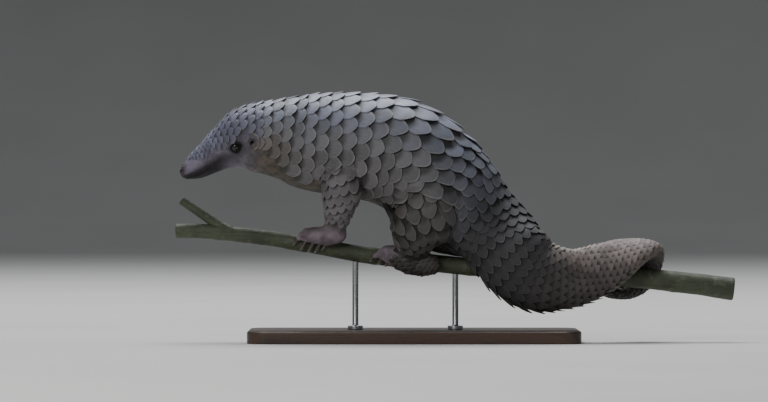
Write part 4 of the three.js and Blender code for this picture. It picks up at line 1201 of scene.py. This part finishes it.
def rod_points(x):
    """A collar with a rounded shoulder, a small groove, and the rod up to the bark."""
    foot = BASE["height"] + TOUCH
    high, wide, thin = ROD["collar_height"], ROD["collar"], ROD["radius"]
    arc = np.radians(np.linspace(0, 90, 7))
    soft = ROD["shoulder"]
    shoulder = [(wide - soft * (1 - math.cos(a)), foot + high - soft * (1 - math.sin(a))) for a in arc]
    centre, r = branch_at(x)
    top = float(centre[2] - r) + 0.5
    neck = [(thin + 1.2, foot + high), (thin + 0.4, foot + high + 0.5), (thin, foot + high + 1.4)]
    return turned([(wide - 0.4, foot), (wide, foot + 0.4)] + shoulder + neck + [(thin, top)], x, 48)


base = tube_piece("wood_base", base_points(), sharp=35)
rods = {number: tube_piece(f"steel_rod_{number}", rod_points(x), sharp=35)
        for number, x in enumerate(ROD_PLACES, 1)}
print("base and rods:", 1 + len(rods), "pieces")

# %% [markdown]
# Materials are node trees. A helper places one node with its values and links, and a few more stand for
# the steps that come back in every material: mixing colours, softening a range, and one sum. Effects that
# several materials share are node groups: soft blotches of a given size, and fine wrinkles.

# %% Node helpers
def node(tree, kind, links=None, **values):
    """Adds a node. links maps an input's name or number to a socket or to a value."""
    made = tree.nodes.new(kind)
    for key, value in values.items():
        setattr(made, key, value)
    for key, value in (links or {}).items():
        if isinstance(value, bpy.types.NodeSocket):
            tree.links.new(value, made.inputs[key])
        else:
            made.inputs[key].default_value = value
    return made


def colour(code):
    """A hex colour as linear RGBA."""
    parts = np.array([int(code[i:i + 2], 16) for i in (0, 2, 4)]) / 255
    return tuple(np.where(parts <= 0.04045, parts / 12.92, ((parts + 0.055) / 1.055) ** 2.4)) + (1.0,)


def object_place(tree):
    """Where a point lies on the object, in metres."""
    return node(tree, "ShaderNodeTexCoord").outputs["Object"]


def maths(tree, operation, a, b=0.0):
    """One sum on two masks or numbers."""
    return node(tree, "ShaderNodeMath", {0: a, 1: b}, operation=operation).outputs[0]


def times(tree, a, b):
    return maths(tree, "MULTIPLY", a, b)


def number_of(tree, name, strength=None):
    """A number stored on the piece's points, weakened to a strength."""
    number = node(tree, "ShaderNodeAttribute", attribute_name=name).outputs["Fac"]
    return number if strength is None else times(tree, number, strength)


def ramp(tree, value, low, high, to_low=0.0, to_high=1.0):
    """A value mapped from one range to another with soft ends."""
    ends = {"From Min": low, "From Max": high, "To Min": to_low, "To Max": to_high}
    made = node(tree, "ShaderNodeMapRange", {"Value": value, **ends}, interpolation_type="SMOOTHSTEP")
    return made.outputs["Result"]


def mixed(tree, factor, a, b, blend="MIX"):
    """A colour between a and b. Each of them is a socket or a hex code."""
    a, b = (colour(c) if isinstance(c, str) else c for c in (a, b))
    return node(tree, "ShaderNodeMix", {0: factor, 6: a, 7: b}, data_type="RGBA", blend_type=blend).outputs[2]


def stretched(tree, vector, scale):
    """A place with small scales along some axes, so that a noise on it becomes long lines there."""
    return node(tree, "ShaderNodeMapping", {"Vector": vector, "Scale": scale}).outputs[0]


def noise(tree, vector, scale, detail=2.0):
    return node(tree, "ShaderNodeTexNoise", {"Vector": vector, "Scale": scale, "Detail": detail}).outputs[0]


# %% Materials, from blank to finished
def blank_material(name, **constants):
    """A material with a Principled BSDF whose plain numbers are set on its own sockets."""
    made = bpy.data.materials.new(name)
    made.use_nodes = True
    for key, value in constants.items():
        made.node_tree.nodes["Principled BSDF"].inputs[key.replace("_", " ")].default_value = value
    return made, made.node_tree


def finished(made, base, rough=None, height=None, depth=0.0, strength=1.0):
    """Feeds the shader's colour, its roughness, and a height times a depth in metres as bump."""
    tree = made.node_tree
    shader = tree.nodes["Principled BSDF"]
    tree.links.new(base, shader.inputs["Base Color"])
    if rough is not None:
        tree.links.new(rough, shader.inputs["Roughness"])
    if height is not None:
        relief = node(tree, "ShaderNodeBump", {"Height": height, "Distance": depth, "Strength": strength})
        tree.links.new(relief.outputs[0], shader.inputs["Normal"])
    return made


def dress(pieces, material):
    """Gives a material to each of the pieces."""
    for piece in pieces:
        piece.data.materials.append(material)


# %% Shared effects
def group_of(name, inputs):
    """An empty group with number inputs, a vector input and two number outputs."""
    group = bpy.data.node_groups.new(name, "ShaderNodeTree")
    group.interface.new_socket("Vector", in_out="INPUT", socket_type="NodeSocketVector")
    for key, value in inputs.items():
        group.interface.new_socket(key, in_out="INPUT", socket_type="NodeSocketFloat").default_value = value
    for key in ("Value", "Height"):
        group.interface.new_socket(key, in_out="OUTPUT", socket_type="NodeSocketFloat")
    return group, group.nodes.new("NodeGroupInput").outputs, group.nodes.new("NodeGroupOutput").inputs


def blotch_group():
    """Two noises, one broad and one fine, for uneven colour and for a grainy surface."""
    group, given, result = group_of("Blotches", {"Size": 40.0, "Fine": 600.0})
    broad = noise(group, given["Vector"], given["Size"], 5.0)
    group.links.new(ramp(group, broad, 0.32, 0.68), result["Value"])
    group.links.new(noise(group, given["Vector"], given["Fine"], 4.0), result["Height"])
    return group


def wrinkle_group():
    """Cracks between small cells, as in leathery skin: value near a crack, height of the cells."""
    group, given, result = group_of("Wrinkles", {"Size": 420.0})
    bend = node(group, "ShaderNodeTexNoise", {"Vector": given["Vector"], "Scale": 160.0}).outputs["Color"]
    moved = node(group, "ShaderNodeVectorMath", {0: bend, 3: 0.004}, operation="SCALE").outputs[0]
    vector = node(group, "ShaderNodeVectorMath", {0: given["Vector"], 1: moved}).outputs[0]
    cells = node(group, "ShaderNodeTexVoronoi", {"Vector": vector, "Scale": given["Size"]},
                 feature="DISTANCE_TO_EDGE").outputs[0]
    group.links.new(ramp(group, cells, 0.0, 0.12, 1, 0), result["Value"])
    group.links.new(ramp(group, cells, 0.0, 0.3), result["Height"])
    return group


BLOTCHES, WRINKLES = blotch_group(), wrinkle_group()


def use(tree, group, vector, **values):
    """Places a shared effect with its own values and returns its two outputs."""
    made = node(tree, "ShaderNodeGroup", {"Vector": vector, **values}, node_tree=group)
    return made.outputs["Value"], made.outputs["Height"]


# %% [markdown]
# Scale horn is blue-grey on the back, where the blue is painted sky sheen under a painted highlight along the
# back line. It is browner on the flanks and darkest on the rump, where painted shade adds to its own darker
# colour, and the tail's scales end in paler, pinkish tips. Every scale has its own tone. Fine lines run from
# root to tip, faint growth lines run along the free edge, and the edge itself is worn pale. Painted shadow
# darkens each root next to the edge that covers it, and painted shade darkens the underside of rump and tail.
# Head, arms, thighs and the tail's edges have horn of their own, mixed in the same way.

# %% Scale horn
# Colours of back, side, rump, tips and worn edges, how dark the roots are with painted shadow, and how pale
# the line of the back is with a painted highlight. The back's blue-grey holds painted sky sheen, and the dark
# rump and thigh horn hold painted shade besides their own darker colour
HORNS = {
    "scale_horn": (["646a7e", "565354", "2a292c", "786c68", "8d8a88"], 0.85, 0.3),
    "head_scale_horn": (["6e7186", "595663", "595663", "595663", "8a8890"], 0.45, 0.2),
    "arm_scale_horn": (["5f5a5e", "544e4e", "544e4e", "544e4e", "8f8886"], 0.85, 0.0),
    # Thigh horn: its own darker colour, with painted shade
    "thigh_scale_horn": (["403c3a", "383331", "383331", "383331", "6f6863"], 0.85, 0.0),
    "margin_scale_horn": (["5a524c", "4a4440", "4a4440", "8c7f74", "8c7f74"], 0.85, 0.0),
}
WORN_BY = {"snout": "head_scale_horn", "head": "head_scale_horn", "foreleg": "arm_scale_horn",
           "hindleg": "thigh_scale_horn", "hindfoot": "thigh_scale_horn", "tail_edge": "margin_scale_horn"}


def scale_material(name, colours, deep, back_line_highlight):
    """Mixes the coat's colours by place on the body, then adds each scale's own tone, wear and painted shade.
    """
    made, tree = blank_material(name, Specular_IOR_Level=0.5)
    back, side, rump, tips, edge = colours
    grow, station = number_of(tree, "grow"), number_of(tree, "station")
    share = maths(tree, "ABSOLUTE", number_of(tree, "share"))
    stain, grit = use(tree, BLOTCHES, object_place(tree), Size=55.0, Fine=900.0)
    on_rump = ramp(tree, station, 12.0, 15.4)
    # Place on the body
    # The back's blue-grey is painted sky sheen, and the flanks are browner
    base = mixed(tree, ramp(tree, share, 0.14, 0.62), back, side)
    # Painted highlight along the back line
    base = mixed(tree, ramp(tree, share, 0.03, 0.2, back_line_highlight, 0), base, "c4cad6")
    # The rump's darker horn, darkened more by painted shade
    base = mixed(tree, on_rump, base, rump)
    base = mixed(tree, times(tree, ramp(tree, station, 16.5, 18.5), ramp(tree, grow, 0.3, 0.7)), base, tips)
    base = mixed(tree, times(tree, stain, ramp(tree, on_rump, 0, 1, 0.35, 0)), base, side)
    base = mixed(tree, number_of(tree, "warm", 0.8), base, "574e47")
    # Each scale's own tone
    shade = ramp(tree, number_of(tree, "tone"), -1, 1, 0.72, 1.22)
    grey = node(tree, "ShaderNodeCombineColor", {0: shade, 1: shade, 2: shade}).outputs[0]
    base = mixed(tree, 1.0, base, grey, "MULTIPLY")
    # Lines from root to tip, growth lines, and wear, all weaker on the rump
    grain = node(tree, "ShaderNodeUVMap", uv_map="Grain").outputs[0]
    lines = noise(tree, stretched(tree, grain, (1.0, 0.09, 1.0)), 1.6, 6.0)
    rings = node(tree, "ShaderNodeTexWave", {"Vector": grain, "Scale": 0.32, "Distortion": 3.0,
                                            "Detail": 2.0}, bands_direction="Y").outputs["Fac"]
    weaker = ramp(tree, on_rump, 0, 1, 1, 0.35)
    base = mixed(tree, times(tree, ramp(tree, lines, 0.45, 0.75, 0, 0.35), weaker), base, edge)
    worn = times(tree, ramp(tree, grow, 0.9, 1.0), ramp(tree, stain, 0, 1, 0.15, 0.55))
    base = mixed(tree, times(tree, worn, weaker), base, edge)
    # Painted shadow at the roots, next to the covering edges, and painted shade under rump and tail
    root = times(tree, ramp(tree, grow, 0.4, 0.7, deep, 0.0), ramp(tree, station, 16, 18, 1, 0.12))
    base = mixed(tree, root, base, "12100f")
    base = mixed(tree, number_of(tree, "shaded", 0.7), base, "191718")
    rough = maths(tree, "ADD", ramp(tree, lines, 0.3, 0.8, 0.38, 0.6), ramp(tree, on_rump, 0, 1, 0, 0.2))
    height = maths(tree, "ADD", maths(tree, "ADD", lines, times(tree, rings, 0.14)), times(tree, grit, 0.15))
    return finished(made, base, rough, height, 0.0006, 0.7)


horns = {name: scale_material(name, *values) for name, values in HORNS.items()}
for label, piece in coats.items():
    horn = next((name for part, name in WORN_BY.items() if part in label), "scale_horn")
    dress([piece], horns[horn])
    print(label, "wears", horn)

# %% [markdown]
# The bare skin is mauve-grey leather with fine wrinkles. The numbers on its points say where it turns
# brown, pink or wet, where painted shade blackens it under the jaw and between the scales, and where painted
# light brightens the snout's pale top.

# %% Skin
def skin_material():
    """Lays each place's colour over the mauve ground, then cracks and the painted shade of hollows."""
    made, tree = blank_material("skin_leather", Specular_IOR_Level=0.3, Subsurface_Weight=0.05)
    where = object_place(tree)
    blotch, grit = use(tree, BLOTCHES, where, Size=60.0, Fine=1400.0)
    crack, cells = use(tree, WRINKLES, where, Size=560.0)
    base = mixed(tree, blotch, "5d5762", "79727f")
    base = mixed(tree, number_of(tree, "belly"), base, mixed(tree, blotch, "3e3933", "665e53"))
    base = mixed(tree, number_of(tree, "foot"), base, mixed(tree, blotch, "62565d", "8b7e85"))
    # Painted shade under the jaw
    base = mixed(tree, number_of(tree, "jaw", 0.9), base, "0e0b10")
    # The snout's paler top, with painted light
    base = mixed(tree, number_of(tree, "pale"), base, mixed(tree, blotch, "77708a", "8c8698"))
    # Painted shade of the skin between the scales
    base = mixed(tree, number_of(tree, "under"), base, "211e1d")
    base = mixed(tree, number_of(tree, "wet", 0.75), base, "2a252c")
    base = mixed(tree, times(tree, crack, 0.22), base, "2e2628")
    # Painted shade in the hollows of the face, and darker blotches round the eye
    base = mixed(tree, number_of(tree, "dark"), base, "120d0e")
    rough = maths(tree, "SUBTRACT", ramp(tree, grit, 0.3, 0.7, 0.55, 0.75), number_of(tree, "wet", 0.35))
    return finished(made, base, rough, maths(tree, "ADD", cells, times(tree, grit, 0.5)), 0.00045, 0.9)


# %% Ears, eyes and claws
def ear_material():
    """Thin pale skin that lets a little light through."""
    made, tree = blank_material("ear_skin", Subsurface_Weight=0.12, Roughness=0.5)
    blotch, grit = use(tree, BLOTCHES, object_place(tree), Size=160.0, Fine=1600.0)
    return finished(made, mixed(tree, blotch, "625a57", "7a716c"), None, grit, 0.0003, 0.6)


def eye_material():
    """Nearly black, with a brown ring of iris that only shows in strong light."""
    made, tree = blank_material("eye_gloss", Roughness=0.03, Specular_IOR_Level=0.5)
    front = number_of(tree, "front")
    base = mixed(tree, ramp(tree, front, 0.66, 0.8), "080606", "17100c")
    return finished(made, mixed(tree, ramp(tree, front, 0.86, 0.9), base, "040303"))


def claw_material():
    """Brown horn, unevenly stained and paler towards the tip."""
    made, tree = blank_material("claw_horn", Specular_IOR_Level=0.5)
    blotch, grit = use(tree, BLOTCHES, object_place(tree), Size=220.0, Fine=1500.0)
    base = mixed(tree, number_of(tree, "tip"), "332c29", "6f665d")
    base = mixed(tree, times(tree, blotch, 0.4), base, "2a221e")
    return finished(made, base, ramp(tree, grit, 0.3, 0.7, 0.3, 0.45), grit, 0.0002, 0.5)


dress([skin], skin_material())
dress(ears.values(), ear_material())
dress(eyes.values(), eye_material())
dress(claws.values(), claw_material())

# %% [markdown]
# The bark is green-grey with pale lichen, small pores and cracks along it. The base is dark walnut under a
# satin coat, and the rods are brushed steel.

# %% Bark, wood and steel
def bark_material():
    """Two blotch colours, then lichen, cracks along the stem, and pores."""
    made, tree = blank_material("bark", Specular_IOR_Level=0.35)
    where = object_place(tree)
    blotch, grit = use(tree, BLOTCHES, where, Size=28.0, Fine=700.0)
    lichen, _ = use(tree, BLOTCHES, where, Size=95.0, Fine=300.0)
    crack = noise(tree, stretched(tree, where, (0.12, 1.0, 1.0)), 380.0, 6.0)
    pores = node(tree, "ShaderNodeTexVoronoi", {"Vector": where, "Scale": 130.0}).outputs["Distance"]
    spot = ramp(tree, pores, 0.06, 0.16, 1, 0)
    base = mixed(tree, blotch, "3a3e30", "4b503e")
    base = mixed(tree, ramp(tree, lichen, 0.8, 1.0, 0, 0.4), base, "62685a")
    base = mixed(tree, ramp(tree, crack, 0.56, 0.72, 0, 0.5), base, "2c2b21")
    base = mixed(tree, times(tree, spot, 0.55), base, "343226")
    height = maths(tree, "SUBTRACT", maths(tree, "ADD", grit, spot), crack)
    return finished(made, base, ramp(tree, grit, 0.3, 0.7, 0.5, 0.75), height, 0.0006, 0.7)


def wood_material():
    """Long bent growth lines and fine pores."""
    made, tree = blank_material("walnut", Coat_Weight=0.25, Coat_Roughness=0.25)
    where = object_place(tree)
    long = stretched(tree, where, (0.6, 6.0, 6.0))
    wave = node(tree, "ShaderNodeTexWave", {"Vector": long, "Scale": 2.2, "Distortion": 5.5, "Detail": 3.0,
                                           "Detail Scale": 1.2}, bands_direction="Y").outputs["Fac"]
    fine = noise(tree, stretched(tree, where, (0.04, 1.0, 1.0)), 900.0, 5.0)
    base = mixed(tree, ramp(tree, wave, 0.1, 0.9), "4a3426", "2e2018")
    base = mixed(tree, ramp(tree, fine, 0.5, 0.75, 0, 0.7), base, "1d140e")
    return finished(made, base, ramp(tree, fine, 0.3, 0.8, 0.34, 0.55), fine, 0.0002, 0.4)


def steel_material():
    """Fine lines round the rod."""
    made, tree = blank_material("steel", Metallic=1.0)
    lines = noise(tree, stretched(tree, object_place(tree), (0.05, 0.05, 1.0)), 2500.0, 4.0)
    base = mixed(tree, lines, "8f9092", "b4b5b6")
    return finished(made, base, ramp(tree, lines, 0.3, 0.7, 0.26, 0.42), lines, 0.00005, 0.4)


dress(stems.values(), bark_material())
dress([base], wood_material())
dress(rods.values(), steel_material())
print("materials:", [material.name for material in bpy.data.materials])

# %% [markdown]
# Every piece rides on the model's one body. The solids that the pieces stand for are hidden, and the skin
# stands in for all the flesh, so that no seam shows between the nodes.

# %% Rides and replaced nodes
FLESH = ["head", "neck", "torso", "tail_base", "tail_middle", "tail_end", "tail_tip"]
FLESH += list(limbs)
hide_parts(*FLESH)
for word in SIDES:
    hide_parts(f"ear_{word}")
    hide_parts(f"eye_{word}")
for name, piece in claws.items():
    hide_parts(name)
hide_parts("branch")
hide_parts("branch_shoot")
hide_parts("stand_base")
for number, piece in rods.items():
    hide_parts(f"stand_rod_{number}")

FINISH = [("skin", [skin, *ears.values()]), ("scales", coats.values()), ("eye", eyes.values()),
          ("claw", claws.values()), ("bark", stems.values()), ("rod", rods.values()), ("base", [base])]
for slot, pieces in FINISH:
    for piece in pieces:
        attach(piece, "root")

# %% [markdown]
# The camera looks level along +Y through a long lens, as the photograph does. The floor is pale and
# curves up far away on all sides, so that no horizon shows from anywhere. One wide soft light hangs
# overhead and a weaker one fills from the front.

# %% Camera
VIEW = {"x": -46.8, "z": 183.3, "distance": 5550, "lens": 200, "sensor": 36}
lens = bpy.data.cameras.new("camera")
lens.lens = VIEW["lens"]
lens.sensor_width = VIEW["sensor"]
lens.clip_end = 50
camera = bpy.data.objects.new("camera", lens)
camera.location = Vector((VIEW["x"], -VIEW["distance"], VIEW["z"])) * MM
camera.rotation_euler = (math.radians(90), 0, 0)
bpy.context.scene.collection.objects.link(camera)
bpy.context.scene.camera = camera


# %% Floor and lights
# Radius of the floor's flat part, and how far its rim rises
FLOOR = {"flat": 9800, "rise": 2600}


def floor_points():
    """A flat round sheet that turns up all round along a quarter circle, like a wide shallow bowl."""
    flat = np.concatenate([[20, 300], np.linspace(1000, FLOOR["flat"], 11)])
    arc = np.radians(np.linspace(0, 90, 24))[1:]
    radius = np.concatenate([flat, FLOOR["flat"] + FLOOR["rise"] * np.sin(arc)])
    z = np.concatenate([0 * flat, FLOOR["rise"] * (1 - np.cos(arc))])
    return turned(np.stack([radius, z], -1), 0, 96)


sheet = floor_points()
floor = make_piece("floor", sheet, grid_faces(*sheet.shape[:2]) + [list(range(sheet.shape[1]))])
paper, tree = blank_material("floor_paper", Roughness=0.85, Specular_IOR_Level=0.2)
blotch, _ = use(tree, BLOTCHES, object_place(tree), Size=2.0, Fine=60.0)
dress([floor], finished(paper, mixed(tree, blotch, "b7b6b3", "bbbab7")))


def soft_light(name, place_mm, aim_mm, size, power, tint=(1, 1, 1)):
    """A square light that faces a point."""
    data = bpy.data.lights.new(name, "AREA")
    data.shape, data.size, data.energy, data.color = "SQUARE", size * MM, power, tint
    light = bpy.data.objects.new(name, data)
    light.location = Vector(place_mm) * MM
    light.rotation_euler = (Vector(aim_mm) - Vector(place_mm)).to_track_quat("-Z", "Y").to_euler()
    bpy.context.scene.collection.objects.link(light)


soft_light("ceiling", (-600, 1900, 5200), (0, 0, 200), 4000, 500, (0.96, 0.98, 1.0))
soft_light("front", (-1000, -2250, 1300), (0, 0, 180), 800, 22)
world = bpy.data.worlds.new("studio")
bpy.context.scene.world = world
world.use_nodes = True
sky = world.node_tree.nodes["Background"]
sky.inputs["Color"].default_value = (0.8, 0.85, 0.9, 1)
sky.inputs["Strength"].default_value = 0.22

# %% The end
bpy.context.view_layer.update()
